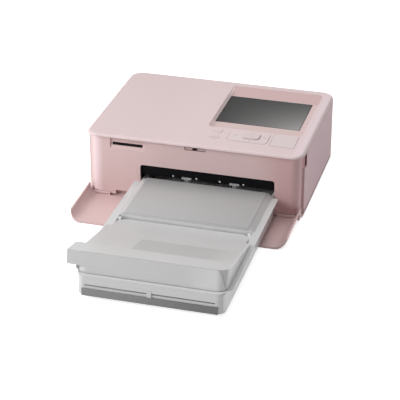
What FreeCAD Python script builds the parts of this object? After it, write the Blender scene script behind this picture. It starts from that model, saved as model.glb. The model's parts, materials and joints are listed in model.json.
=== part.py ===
"""Compact photo printer with its front flap open and its paper cassette in place.

Lengths are millimetres. The pieces are drawn in the printer's own space: X runs to the right
from the middle of the body, Y runs back from the body's front face and Z runs up from the
desk. Each piece is then placed so that the origin is the middle of the whole footprint.
"""
import FreeCAD, Part
import math
import os
import re

import Sketcher

# Driving sizes
SIZES = {
    # Body shell
    "body_width": 182.2,
    "body_depth": 133.0,
    "body_height": 57.6,
    "front_corner": 10.0,
    "back_corner": 11.0,
    "shell_wall": 2.0,
    "top_wall": 2.2,
    "top_round": 2.5,
    "base_round": 0.8,
    "base_floor": 1.4,
    "split_height": 38.8,
    "lip_height": 2.2,
    "part_gap": 0.3,
    "running_gap": 0.05,
    "overrun": 6.0,
    "foot_height": 0.9,
    "foot_radius": 6.0,
    "foot_inset": 17.0,
    # Front panel
    "face_depth": 2.4,
    "panel_wall": 2.0,
    "panel_base_z": 3.2,
    "wrap_depth": 11.6,
    "mouth_width": 112.8,
    "mouth_shift": 0.5,
    "mouth_top_z": 32.9,
    "mouth_corner": 2.2,
    "arch_rise": 3.6,
    "arch_width": 21.6,
    "card_inset": 35.7,
    "card_slot_width": 25.4,
    "card_slot_height": 2.6,
    "card_slot_drop": 4.7,
    "card_relief_width": 29.2,
    "card_relief_drop": 6.0,
    "card_relief_depth": 1.5,
    "card_depth": 24.0,
    "card_case_wall": 1.6,
    "latch_centre_x": 1.8,
    "latch_width": 18.0,
    "latch_height": 2.8,
    "latch_drop": 2.5,
    "latch_recess": 0.4,
    "latch_hole_width": 4.2,
    "latch_hole_height": 1.8,
    "latch_travel": 1.0,
    # Display and keys
    "well_width": 79.0,
    "well_inset": 9.1,
    "well_front_y": 41.0,
    "well_back_y": 125.0,
    "well_depth": 2.8,
    "well_ramp": 16.0,
    "well_step": 2.4,
    "well_side_step": 1.5,
    "well_corner": 6.0,
    "well_floor_wall": 1.8,
    "display_inset": 1.8,
    "display_front_y": 55.0,
    "display_width": 71.6,
    "display_depth": 53.6,
    "display_gap": 0.15,
    "glass_thick": 1.0,
    "module_thick": 2.6,
    "key_gap": 0.25,
    "key_travel": 0.8,
    "key_flange": 0.8,
    "key_flange_thick": 0.9,
    "key_stand": 0.15,
    "key_corner": 0.9,
    "print_inset": 11.1,
    "print_width": 20.0,
    "print_front_y": 15.0,
    "print_back_y": 37.2,
    "pad_space": 3.0,
    "pad_width": 33.0,
    "pad_front_y": 16.5,
    "pad_back_y": 36.4,
    "confirm_inset": 7.7,
    "confirm_width": 13.8,
    "confirm_front_y": 22.6,
    "confirm_back_y": 33.0,
    "confirm_stand": 0.9,
    "small_key_radius": 3.4,
    "small_key_space": 10.5,
    "power_key_y": 20.5,
    "back_key_y": 32.0,
    "key_board_thick": 1.6,
    "dome_thick": 0.9,
    # Side door
    "door_gap": 0.4,
    "door_back_y": 122.0,
    "door_axis_z": 4.1,
    "door_pin_radius": 0.6,
    "door_lug": 2.6,
    "door_pin_length": 8.0,
    "door_slit_width": 5.0,
    "door_slit_height": 11.5,
    "door_rib_thick": 1.2,
    "door_rib_reach": 2.2,
    "door_rib_inset": 6.0,
    # Front flap
    "flap_thick": 1.8,
    "flap_clear": 0.3,
    "flap_axis_rise": 2.7,
    "flap_top_gap": 0.8,
    "flap_barrel_radius": 1.4,
    "flap_pin_radius": 0.7,
    "flap_knuckle_inset": 5.1,
    "flap_knuckle_length": 13.0,
    "flap_side_inset": 0.8,
    "flap_side_thick": 1.2,
    "flap_lug": 1.8,
    "flap_band_rise": 9.2,
    "flap_band_front_rise": 8.2,
    "flap_horn_rise": 4.2,
    "flap_front_corner": 9.0,
    "flap_bay_recess": 0.7,
    "flap_bay_margin": 2.5,
    "flap_lip_thick": 1.1,
    # Frames and guide
    "frame_half": 58.5,
    "frame_thick": 1.2,
    "frame_front_y": 6.8,
    "frame_back_y": 120.0,
    "frame_top_z": 50.6,
    "bay_gap": 0.4,
    "bay_notch": 3.5,
    "frame_flange": 5.0,
    "bush_radius": 3.0,
    "bush_flange_radius": 3.6,
    "bush_flange": 0.7,
    "shaft_radius": 2.0,
    "guide_y": 5.8,
    "guide_thick": 1.5,
    "guide_low_z": 23.2,
    "guide_top_z": 40.0,
    "finger_first_x": -5.9,
    "finger_second_x": 34.3,
    "finger_bar_width": 8.2,
    "finger_bar_height": 1.4,
    "finger_stem_width": 3.4,
    "finger_drop": 2.8,
    "finger_thick": 1.2,
    "rivet_radius": 0.7,
    "rivet_stand": 0.4,
    "rivet_first_x": -17.4,
    "rivet_pitch": 19.7,
    "lower_guide_front_y": 46.5,
    "lower_guide_back_y": 69.5,
    "lower_guide_z": 24.0,
    "lower_guide_thick": 1.4,
    # Rollers and gears
    "pick_radius": 8.0,
    "pick_core_radius": 4.5,
    "pick_z": 24.6,
    "pick_tyre_length": 14.0,
    "pick_tyre_offset": 12.0,
    "capstan_y": 40.0,
    "capstan_z": 23.0,
    "capstan_radius": 4.0,
    "pinch_radius": 3.5,
    "platen_radius": 7.0,
    "platen_z": 20.0,
    "paper_gap": 0.3,
    "roller_half": 52.0,
    "gear_module": 1.0,
    "gear_width": 3.0,
    "gear_side_gap": 0.8,
    "gear_play": 0.32,
    "motor_radius": 11.5,
    "motor_length": 26.0,
    "motor_rise": 18.0,
    "motor_boss_radius": 4.0,
    "motor_boss_length": 1.0,
    "motor_bracket_thick": 1.2,
    # Print head and ribbon
    "head_half": 51.0,
    "head_depth": 10.0,
    "head_thick": 2.6,
    "head_clear": 0.8,
    "sink_depth": 14.0,
    "sink_fin_gap": 2.0,
    "arm_side_gap": 1.3,
    "arm_thick": 1.4,
    "arm_plate_z": 43.0,
    "arm_plate_thick": 1.4,
    "arm_front_reach": 10.0,
    "arm_axis_offset": 13.0,
    "arm_axis_z": 45.6,
    "arm_pin_radius": 1.2,
    "arm_eye_radius": 2.6,
    "spool_z": 38.0,
    "takeup_y": 55.0,
    "supply_y": 104.0,
    "spool_core_radius": 4.2,
    "spool_roll_radius": 7.2,
    "spool_half": 51.0,
    "spool_hub_radius": 2.6,
    "ribbon_case_radius": 9.4,
    "ribbon_case_wall": 1.0,
    "ribbon_case_half": 54.6,
    "ribbon_end_thick": 1.8,
    "ribbon_slit": 7.0,
    "ribbon_thick": 0.1,
    # Electronics
    "board_inset": 4.1,
    "board_width": 31.0,
    "board_front_y": 74.0,
    "board_back_y": 124.0,
    "board_z": 8.0,
    "board_thick": 1.6,
    "board_post_radius": 2.4,
    "chip_width": 12.0,
    "chip_height": 1.6,
    "capacitor_radius": 4.0,
    "capacitor_height": 12.0,
    "window_left_inset": 13.1,
    "window_right_inset": 17.1,
    "window_low_z": 6.0,
    "window_top_z": 36.0,
    "rear_slot_low_z": 24.5,
    "rear_slot_high_z": 30.5,
    "vent_width": 2.4,
    "vent_height": 11.0,
    "vent_low_z": 9.0,
    "vent_reach": 82.0,
    "vent_pitch": 5.2,
    "jack_inset": 10.0,
    "jack_z": 15.0,
    "jack_radius": 4.6,
    "jack_bore_radius": 2.75,
    "jack_pin_radius": 0.95,
    "jack_length": 11.0,
    # Paper cassette
    "tray_centre_x": 12.3,
    "tray_width": 112.8,
    "tray_tail_width": 110.8,
    "tray_reach": 157.0,
    "tray_tail": 32.0,
    "tray_shoulder": 2.0,
    "tray_low_z": 3.2,
    "tray_height": 16.8,
    "tray_wall": 1.6,
    "tray_floor": 1.4,
    "tray_corner": 6.0,
    "tray_inner_corner": 4.4,
    "rim_width": 120.6,
    "rim_thick": 1.2,
    "rim_front_gap": 7.0,
    "tray_deck": 11.0,
    "bar_margin": 4.4,
    "bar_height": 5.8,
    "bar_stand": 1.0,
    "groove_rise": 8.0,
    "groove_height": 1.2,
    "groove_margin": 6.6,
    "groove_depth": 0.5,
    "nub_width": 3.4,
    "nub_stand": 0.7,
    "cover_thick": 1.2,
    "cover_back_y": 0.6,
    "cover_front_y": -61.5,
    "cover_rise": 2.8,
    "cover_slope": 5.2,
    "cover_side_inset": 1.2,
    "cover_skirt": 4.8,
    "plate_thick": 1.0,
    "plate_side_gap": 1.6,
    "plate_front_y": -116.0,
    "plate_pin_radius": 0.9,
    "plate_eye_radius": 1.7,
    "paper_width": 100.0,
    "paper_length": 140.0,
    "paper_stack": 6.0,
    # Cassette lid
    "lid_axis_y": -65.0,
    "lid_axis_z": 18.0,
    "lid_tilt": 12.0,
    "lid_thick": 1.4,
    "lid_rise": 0.2,
    "lid_width": 114.0,
    "lid_root_width": 107.0,
    "lid_root_length": 17.5,
    "lid_tail": 2.6,
    "lid_length": 87.6,
    "lid_corner": 8.0,
    "lid_skirt": 17.0,
    "lid_seat_gap": 0.4,
    "nose_width": 129.0,
    "nose_length": 20.0,
    "nose_height": 11.2,
    "lid_wall": 1.5,
    "lid_eye_radius": 2.4,
    "lid_eye_thick": 2.6,
    "lid_pin_radius": 1.0,
    "lid_notch": 3.4,
    "label_left": 25.0,
    "label_right": 50.0,
    "label_near": 43.0,
    "label_far": 58.0,
    "label_depth": 0.4,
}
COUNTS = {
    "pick_teeth": 14,
    "capstan_teeth": 24,
    "idler_teeth": 16,
    "platen_teeth": 30,
    "motor_teeth": 12,
    "vent_count": 11,
    "rivet_count": 4,
    "fin_count": 6,
}
SHARES = {
    "tooth_root_share": 1.2,
    "tooth_tip_share": 0.95,
    "gap_root_share": 0.62,
    "gap_tip_share": 1.75,
    "train_share": 0.92,
    "bay_bevel_share": 0.66,
    "dome_share": 0.8,
}
# Places that follow from the driving sizes
PLACES = {
    "half_width": "body_width / 2",
    "front_y": "(tray_reach + bar_stand - body_depth) / 2",
    "floor_z": "foot_height + base_floor",
    "lip_z": "body_height - lip_height",
    "ceiling_z": "body_height - top_wall",
    "panel_top_z": "lip_z - part_gap",
    "door_front_y": "wrap_depth + door_gap",
    "door_axis_x": "half_width - shell_wall / 2",
    "mouth_left_x": "tray_centre_x - mouth_shift - mouth_width / 2",
    "card_centre_x": "-half_width + card_inset",
    "card_slot_z": "panel_top_z - card_slot_drop",
    "well_right_x": "half_width - well_inset",
    "well_left_x": "well_right_x - well_width",
    "display_left_x": "well_left_x + display_inset",
    "print_right_x": "half_width - print_inset",
    "print_left_x": "print_right_x - print_width",
    "pad_right_x": "print_left_x - pad_space",
    "pad_left_x": "pad_right_x - pad_width",
    "confirm_right_x": "pad_right_x - confirm_inset",
    "confirm_left_x": "confirm_right_x - confirm_width",
    "small_key_x": "pad_left_x - small_key_space",
    "flap_knuckle_outer_x": "half_width - flap_knuckle_inset",
    "flap_knuckle_inner_x": "flap_knuckle_outer_x - flap_knuckle_length",
    "board_left_x": "-half_width + board_inset",
    "board_right_x": "board_left_x + board_width",
    "window_left_x": "-half_width + window_left_inset",
    "window_right_x": "half_width - window_right_inset",
    "vent_first_x": "window_right_x - vent_reach",
    "jack_x": "window_left_x + jack_inset",
    "arm_half": "frame_half - arm_side_gap",
    "well_floor_z": "body_height - well_depth",
    "tub_z": "well_floor_z - well_floor_wall",
    "latch_z": "panel_top_z - latch_drop",
    "flange_z": "ceiling_z - part_gap",
    "dome_z": "flange_z - key_flange_thick - key_travel - part_gap",
    "key_board_z": "dome_z - dome_thick",
    "frame_left_x": "tray_centre_x - frame_half",
    "frame_right_x": "tray_centre_x + frame_half",
    "flap_axis_z": "flap_clear + flap_axis_rise",
    "flap_axis_y": "flap_axis_rise",
    "flap_reach": "panel_top_z - flap_top_gap - flap_axis_z - flap_axis_y",
    "flap_half": "half_width - flap_side_inset",
    "flap_horn_y": "2 * flap_axis_rise",
    "flap_back_y": "flap_axis_y - flap_barrel_radius - part_gap",
    "tray_top_z": "tray_low_z + tray_height",
    "pick_pitch": "gear_module * (pick_teeth + capstan_teeth) / 2",
    "pick_y": "capstan_y - sqrt(pick_pitch * pick_pitch - (pick_z - capstan_z) * (pick_z - capstan_z))",
    "first_pitch": "gear_module * (capstan_teeth + idler_teeth) / 2",
    "second_pitch": "gear_module * (idler_teeth + platen_teeth) / 2",
    "motor_pitch": "gear_module * (motor_teeth + platen_teeth) / 2",
    "train_length": "train_share * (first_pitch + second_pitch)",
    "platen_y": "capstan_y + sqrt(train_length * train_length - (capstan_z - platen_z) * (capstan_z - platen_z))",
    "train_foot": "(train_length * train_length + first_pitch * first_pitch - second_pitch * second_pitch)"
                  " / (2 * train_length)",
    "train_drop": "sqrt(first_pitch * first_pitch - train_foot * train_foot)",
    "train_run": "(platen_y - capstan_y) / train_length",
    "train_fall": "(platen_z - capstan_z) / train_length",
    "idler_y": "capstan_y + train_foot * train_run + train_drop * train_fall",
    "idler_z": "capstan_z + train_foot * train_fall - train_drop * train_run",
    "pinch_z": "capstan_z + capstan_radius + paper_gap + pinch_radius",
    "head_low_z": "platen_z + platen_radius + head_clear",
    "gear_right_x": "frame_left_x - frame_thick - gear_side_gap - bush_flange",
    "gear_left_x": "gear_right_x - gear_width",
    "motor_right_x": "gear_left_x - gear_side_gap - motor_boss_length - motor_bracket_thick",
    "motor_z": "platen_z + motor_rise",
    "motor_y": "platen_y - sqrt(motor_pitch * motor_pitch - motor_rise * motor_rise)",
    "arm_axis_y": "platen_y + arm_axis_offset",
    "bar_top_z": "tray_low_z + bar_height",
    "cover_top_z": "tray_top_z + cover_rise",
    "cover_low_half": "tray_width / 2 - cover_side_inset",
    "cover_top_half": "cover_low_half - cover_slope",
    "lid_top": "lid_rise",
}

doc = FreeCAD.newDocument("photo_printer")
sheet = doc.addObject("Spreadsheet::Sheet", "Sizes")
ALIASES = [*SIZES, *COUNTS, *SHARES, *PLACES]
for row, alias in enumerate(ALIASES, start=1):
    number = {**SIZES, **COUNTS, **SHARES}.get(alias)
    sheet.set(f"A{row}", alias)
    sheet.set(f"B{row}", str(number) if number is not None else "=" + PLACES[alias])
    sheet.setAlias(f"B{row}", alias)
doc.recompute()

WORD = re.compile(r"[a-z][a-z_]*[a-z]")
V = FreeCAD.Vector
PIECES = []


def sized(text):
    """An expression on the sheet, from text in the sheet's own words."""
    return WORD.sub(lambda found: "Sizes." + found.group(0) if found.group(0) in ALIASES else found.group(0), text)


def value(text):
    """The number that a text in the sheet's words stands for."""
    found = sheet.evalExpression(sized(text))
    return float(getattr(found, "Value", found))


def bind(thing, name, text):
    """Ties a property to the sheet."""
    thing.setExpression(name, sized(text))


def pinned(sketch, kind, geometry, point, text):
    """Holds a sketch point at a signed distance from the sketch's origin."""
    index = sketch.addConstraint(Sketcher.Constraint(kind, -1, 1, geometry, point, value(text)))
    bind(sketch, f"Constraints[{index}]", text)


def polygon(*corners):
    """A closed outline of straight runs."""
    def draw(sketch):
        first = sketch.GeometryCount
        spots = [V(value(x), value(y), 0) for x, y in corners]
        for spot, after in zip(spots, spots[1:] + spots[:1]):
            sketch.addGeometry(Part.LineSegment(spot, after), False)
        for step, (x, y) in enumerate(corners):
            after = first + (step + 1) % len(corners)
            sketch.addConstraint(Sketcher.Constraint("Coincident", first + step, 2, after, 1))
            pinned(sketch, "DistanceX", first + step, 1, x)
            pinned(sketch, "DistanceY", first + step, 1, y)
    return draw


def rectangle(left, right, low, high):
    """A plain rectangle."""
    return polygon((left, low), (right, low), (right, high), (left, high))


def circle(x, y, radius):
    """A full circle."""
    def draw(sketch):
        spot = V(value(x), value(y), 0)
        index = sketch.addGeometry(Part.Circle(spot, V(0, 0, 1), value(radius)), False)
        pinned(sketch, "DistanceX", index, 3, x)
        pinned(sketch, "DistanceY", index, 3, y)
        size = sketch.addConstraint(Sketcher.Constraint("Radius", index, value(radius)))
        bind(sketch, f"Constraints[{size}]", radius)
    return draw


def rounded(left, right, low, high, low_radius, high_radius=None):
    """A rectangle with tangent corner arcs, of one radius at the low side and one at the high side."""
    high_radius = high_radius or low_radius

    def draw(sketch):
        first = sketch.GeometryCount
        x0, x1, y0, y1 = (value(text) for text in (left, right, low, high))
        small, large = value(low_radius), value(high_radius)
        runs = [
            (V(x0 + small, y0, 0), V(x1 - small, y0, 0)),
            (V(x1, y0 + small, 0), V(x1, y1 - large, 0)),
            (V(x1 - large, y1, 0), V(x0 + large, y1, 0)),
            (V(x0, y1 - large, 0), V(x0, y0 + small, 0)),
        ]
        for start, end in runs:
            sketch.addGeometry(Part.LineSegment(start, end), False)
        quarter = math.pi / 2
        middles = [
            (V(x1 - small, y0 + small, 0), small, 3 * quarter),
            (V(x1 - large, y1 - large, 0), large, 0),
            (V(x0 + large, y1 - large, 0), large, quarter),
            (V(x0 + small, y0 + small, 0), small, 2 * quarter),
        ]
        for middle, radius, turn in middles:
            ring = Part.Circle(middle, V(0, 0, 1), radius)
            sketch.addGeometry(Part.ArcOfCircle(ring, turn, turn + quarter), False)
        for side in range(4):
            arc = first + 4 + side
            sketch.addConstraint(Sketcher.Constraint("Tangent", first + side, 2, arc, 1))
            sketch.addConstraint(Sketcher.Constraint("Tangent", arc, 2, first + (side + 1) % 4, 1))
            kind = "Vertical" if side % 2 else "Horizontal"
            sketch.addConstraint(Sketcher.Constraint(kind, first + side))
            text = high_radius if side in (1, 2) else low_radius
            index = sketch.addConstraint(Sketcher.Constraint("Radius", arc, value(text)))
            bind(sketch, f"Constraints[{index}]", text)
        pinned(sketch, "DistanceY", first, 1, low)
        pinned(sketch, "DistanceX", first + 1, 1, right)
        pinned(sketch, "DistanceY", first + 2, 1, high)
        pinned(sketch, "DistanceX", first + 3, 1, left)
    return draw


class Piece:
    """One solid piece: a body whose sketches and features follow the sheet."""

    def __init__(self, label, place=True):
        self.body = doc.addObject("PartDesign::Body", label)
        self.body.Label = label
        if place:
            bind(self.body, "Placement.Base.y", "front_y")
        PIECES.append(self.body)

    def sketch(self, plane, level, outlines, shift=("0", "0")):
        """A sketch on one of the body's planes, moved along the plane's normal to a level."""
        made = self.body.newObject("Sketcher::SketchObject", f"{self.body.Name}_sketch")
        origin = [part for part in self.body.Origin.OriginFeatures if part.Role == plane + "_Plane"]
        made.AttachmentSupport = (origin[0], "")
        made.MapMode = "FlatFace"
        bind(made, "AttachmentOffset.Base.x", shift[0])
        bind(made, "AttachmentOffset.Base.y", shift[1])
        bind(made, "AttachmentOffset.Base.z", f"-({level})" if plane == "XZ" else level)
        for draw in outlines:
            draw(made)
        return made

    def feature(self, kind, sketch, length, backward):
        """A pad or pocket of a sketch."""
        made = self.body.newObject("PartDesign::" + kind, f"{self.body.Name}_{kind.lower()}")
        made.Profile = sketch
        bind(made, "Length", length)
        made.Reversed = backward
        sketch.Visibility = False
        return made

    def pad(self, plane, low, high, *outlines):
        """Material between two levels along the plane's axis."""
        sketch = self.sketch(plane, low, outlines)
        self.feature("Pad", sketch, f"({high}) - ({low})", plane == "XZ")
        return self

    def cut(self, plane, low, high, *outlines):
        """A cut between two levels along the plane's axis."""
        sketch = self.sketch(plane, low, outlines)
        self.feature("Pocket", sketch, f"({high}) - ({low})", plane != "XZ")
        return self

    def turn(self, y, z, *steps):
        """A stepped round along X about the line at y, z: each step is its two ends and its radius."""
        corners = [(steps[0][0], "0")]
        for left, right, radius in steps:
            corners += [(left, radius), (right, radius)]
        corners.append((steps[-1][1], "0"))
        sketch = self.sketch("XY", z, [polygon(*corners)], ("0", y))
        made = self.body.newObject("PartDesign::Revolution", f"{self.body.Name}_turn")
        made.Profile = sketch
        made.ReferenceAxis = (sketch, ["H_Axis"])
        made.Angle = 360.0
        return self

    def edges(self, test):
        """The names of the tip's edges that a test picks."""
        doc.recompute()
        tip = self.body.Tip
        return tip, [f"Edge{index}" for index, edge in enumerate(tip.Shape.Edges, start=1) if test(edge)]

    def round(self, radius, test):
        """A fillet along the picked edges."""
        tip, names = self.edges(test)
        made = self.body.newObject("PartDesign::Fillet", f"{self.body.Name}_round")
        made.Base = (tip, names)
        bind(made, "Radius", radius)
        return self

    def tilt(self, y, z, angle):
        """Places a piece drawn about its own axis line along X, turned about it."""
        self.body.Placement = FreeCAD.Placement(V(0, 0, 0), FreeCAD.Rotation(V(-1, 0, 0), value(angle)))
        bind(self.body, "Placement.Base.y", f"front_y + {y}")
        bind(self.body, "Placement.Base.z", z)
        bind(self.body, "Placement.Rotation.Angle", angle)
        return self


def level_edge(height_text):
    """Picks edges that lie flat at a height."""
    height = value(height_text)
    small = value("part_gap") / 2

    def test(edge):
        box = edge.BoundBox
        return abs(box.ZMin - height) < small and abs(box.ZMax - height) < small
    return test


def block(name, x, y, z):
    """A plain box between two levels on each axis."""
    made = doc.addObject("Part::Box", name)
    for size, axis, (low, high) in zip(("Length", "Width", "Height"), "xyz", (x, y, z)):
        bind(made, size, f"({high}) - ({low})")
        bind(made, "Placement.Base." + axis, low)
    return made


def post(name, x, y, low, high, radius):
    """An upright cylinder."""
    made = doc.addObject("Part::Cylinder", name)
    bind(made, "Radius", radius)
    bind(made, "Height", f"({high}) - ({low})")
    bind(made, "Placement.Base.x", x)
    bind(made, "Placement.Base.y", y)
    bind(made, "Placement.Base.z", low)
    return made


def rod(name, left, right, y, z, radius):
    """A cylinder along X."""
    made = doc.addObject("Part::Cylinder", name)
    made.Placement = FreeCAD.Placement(V(0, 0, 0), FreeCAD.Rotation(V(0, 1, 0), 90))
    bind(made, "Radius", radius)
    bind(made, "Height", f"({right}) - ({left})")
    bind(made, "Placement.Base.x", left)
    bind(made, "Placement.Base.y", y)
    bind(made, "Placement.Base.z", z)
    return made


def group(label, *members):
    """Separate solids that share one node."""
    made = doc.addObject("Part::Compound", label)
    made.Links = list(members)
    made.Label = label
    bind(made, "Placement.Base.y", "front_y")
    PIECES.append(made)
    return made


# Shell
def base_case():
    """Floor, left wall and rear wall of the body, up to the seam."""
    made = Piece("base_case")
    made.pad("XY", "foot_height", "split_height",
             rounded("-half_width", "half_width", "0", "body_depth", "front_corner", "back_corner"))
    made.round("base_round", level_edge("foot_height"))
    made.cut("XY", "floor_z", "split_height + overrun",
             rounded("-half_width + shell_wall", "half_width - shell_wall", "shell_wall",
                     "body_depth - shell_wall", "front_corner - shell_wall", "back_corner - shell_wall"))
    made.cut("XY", "floor_z", "split_height + overrun",
             rectangle("-half_width - overrun", "half_width + overrun", "-overrun", "door_front_y"))
    made.cut("XY", "floor_z", "split_height + overrun",
             rectangle("half_width - shell_wall - overrun", "half_width + overrun", "wrap_depth",
                       "door_back_y + door_gap"))
    made.cut("XY", "-overrun", "floor_z + overrun",
             rectangle("-half_width - overrun", "half_width + overrun", "-overrun",
                       "flap_axis_y + flap_barrel_radius + part_gap"))
    made.cut("XZ", "body_depth - shell_wall - overrun", "body_depth + overrun",
             rectangle("window_left_x", "window_right_x", "window_low_z", "window_top_z"))
    for side in ("-", ""):
        for near, far in (("flap_knuckle_outer_x + part_gap", "flap_knuckle_outer_x + part_gap + flap_lug"),
                          ("flap_knuckle_inner_x - part_gap - flap_lug", "flap_knuckle_inner_x - part_gap")):
            low, high = (f"-({far})", f"-({near})") if side else (near, far)
            made.pad("YZ", low, high, flap_lug_outline())
            made.cut("YZ", f"{low} - running_gap", f"{high} + running_gap",
                     circle("flap_axis_y", "flap_axis_z", "flap_pin_radius + running_gap"))
    for front, back in door_lugs():
        made.pad("XZ", front, back, rounded(
            "door_axis_x - shell_wall / 2", "door_axis_x + shell_wall / 2", "floor_z - base_floor / 2",
            "door_axis_z + shell_wall / 2", "door_pin_radius / 2", "shell_wall / 2 - running_gap"))
        made.cut("XZ", f"{front} - part_gap", f"{back} + part_gap",
                 circle("door_axis_x", "door_axis_z", "door_pin_radius + running_gap"))
    for x, y in board_posts():
        made.pad("XY", "floor_z - base_floor / 2", "board_z", circle(x, y, "board_post_radius"))
    return made


def flap_lug_outline():
    """The hinge lug of the flap, from the floor's front edge round its pin."""
    return rounded("flap_axis_y - flap_barrel_radius", "flap_axis_y + flap_barrel_radius + part_gap + shell_wall",
                   "foot_height", "flap_axis_z + flap_barrel_radius", "flap_pin_radius / 2")


def door_lugs():
    """Front and back levels of the two lugs that carry the side door."""
    return (("door_front_y", "door_front_y + door_lug"),
            ("door_back_y - door_lug", "door_back_y"))


def board_posts():
    """Places of the posts under the main board."""
    inset = "board_post_radius + part_gap"
    return [(x, y) for x in (f"board_left_x + {inset}", f"board_right_x - {inset}")
            for y in (f"board_front_y + {inset}", f"board_back_y - {inset}")]


def top_cover():
    """Top plate with the display well and key holes, its lip over the front, and the upper walls."""
    made = Piece("top_cover")
    made.pad("XY", "split_height + part_gap", "body_height",
             rounded("-half_width", "half_width", "0", "body_depth", "front_corner", "back_corner"))
    made.round("top_round", level_edge("body_height"))
    made.cut("XY", "split_height + part_gap - overrun", "ceiling_z",
             rounded("-half_width + shell_wall", "half_width - shell_wall", "shell_wall",
                     "body_depth - shell_wall", "front_corner - shell_wall", "back_corner - shell_wall"))
    made.cut("XY", "split_height - overrun", "lip_z",
             rectangle("-half_width - overrun", "half_width + overrun", "-overrun", "door_front_y"))
    made.cut("XY", "split_height - overrun", "lip_z",
             rectangle("half_width - shell_wall - overrun / 2", "half_width + overrun", "wrap_depth",
                       "door_back_y + door_gap"))
    made.pad("XY", "tub_z", "ceiling_z + part_gap",
             rounded("well_left_x - shell_wall", "well_right_x + shell_wall", "well_front_y - shell_wall - part_gap",
                     "well_back_y + shell_wall", "well_corner", "well_corner"))
    made.cut("XY", "well_floor_z", "body_height + overrun",
             rounded("well_left_x", "well_right_x", "well_front_y - well_step", "well_back_y", "well_corner / 2",
                     "well_corner"))
    made.pad("YZ", "well_left_x", "well_right_x",
             polygon(("well_back_y - well_ramp", "well_floor_z"), ("well_back_y", "well_floor_z"),
                     ("well_back_y", "body_height")),
             polygon(("well_front_y - well_step", "well_floor_z"), ("well_front_y", "well_floor_z"),
                     ("well_front_y - well_step", "body_height")))
    made.pad("XZ", "well_front_y - well_step", "well_back_y",
             polygon(("well_left_x", "well_floor_z"), ("well_left_x + well_side_step", "well_floor_z"),
                     ("well_left_x", "body_height")))
    made.cut("XY", "tub_z - overrun", "body_height", display_outline("display_gap"))
    made.cut("XY", "ceiling_z - overrun", "body_height + overrun",
             *[outline for _, outline in key_outlines("key_gap")])
    return made


def display_outline(gap):
    """The display's rectangle, grown by a gap."""
    return rectangle(f"display_left_x - {gap}", f"display_left_x + display_width + {gap}",
                     f"display_front_y - {gap}", f"display_front_y + display_depth + {gap}")


def key_outlines(gap):
    """The outlines of the keys that sit in the top plate, grown by a gap."""
    return [
        ("print_key", rounded(f"print_left_x - {gap}", f"print_right_x + {gap}", f"print_front_y - {gap}",
                              f"print_back_y + {gap}", f"key_corner + {gap}")),
        ("arrow_key", rounded(f"pad_left_x - {gap}", f"pad_right_x + {gap}", f"pad_front_y - {gap}",
                              f"pad_back_y + {gap}", f"4 * key_corner + {gap}")),
        ("power_key", circle("small_key_x", "power_key_y", f"small_key_radius + {gap}")),
        ("back_key", circle("small_key_x", "back_key_y", f"small_key_radius + {gap}")),
    ]


def confirm_outline(gap):
    """The confirm key's outline, grown by a gap."""
    return rounded(f"confirm_left_x - {gap}", f"confirm_right_x + {gap}", f"confirm_front_y - {gap}",
                   f"confirm_back_y + {gap}", f"3 * key_corner + {gap}")


def keys():
    """Keys with a flange below the top plate; the confirm key passes through the arrow key."""
    caps = dict(key_outlines("0"))
    flanges = dict(key_outlines("key_flange"))
    for label, cap in caps.items():
        made = Piece(label)
        made.pad("XY", "flange_z - key_flange_thick", "flange_z", flanges[label])
        made.pad("XY", "flange_z - key_flange_thick / 2", "body_height + key_stand", cap)
        if label == "arrow_key":
            made.cut("XY", "flange_z - key_flange_thick - overrun", "body_height + overrun",
                     confirm_outline("key_gap"))
    made = Piece("confirm_key")
    made.pad("XY", "flange_z - key_flange_thick", "body_height + confirm_stand", confirm_outline("0"))
    return made


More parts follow.
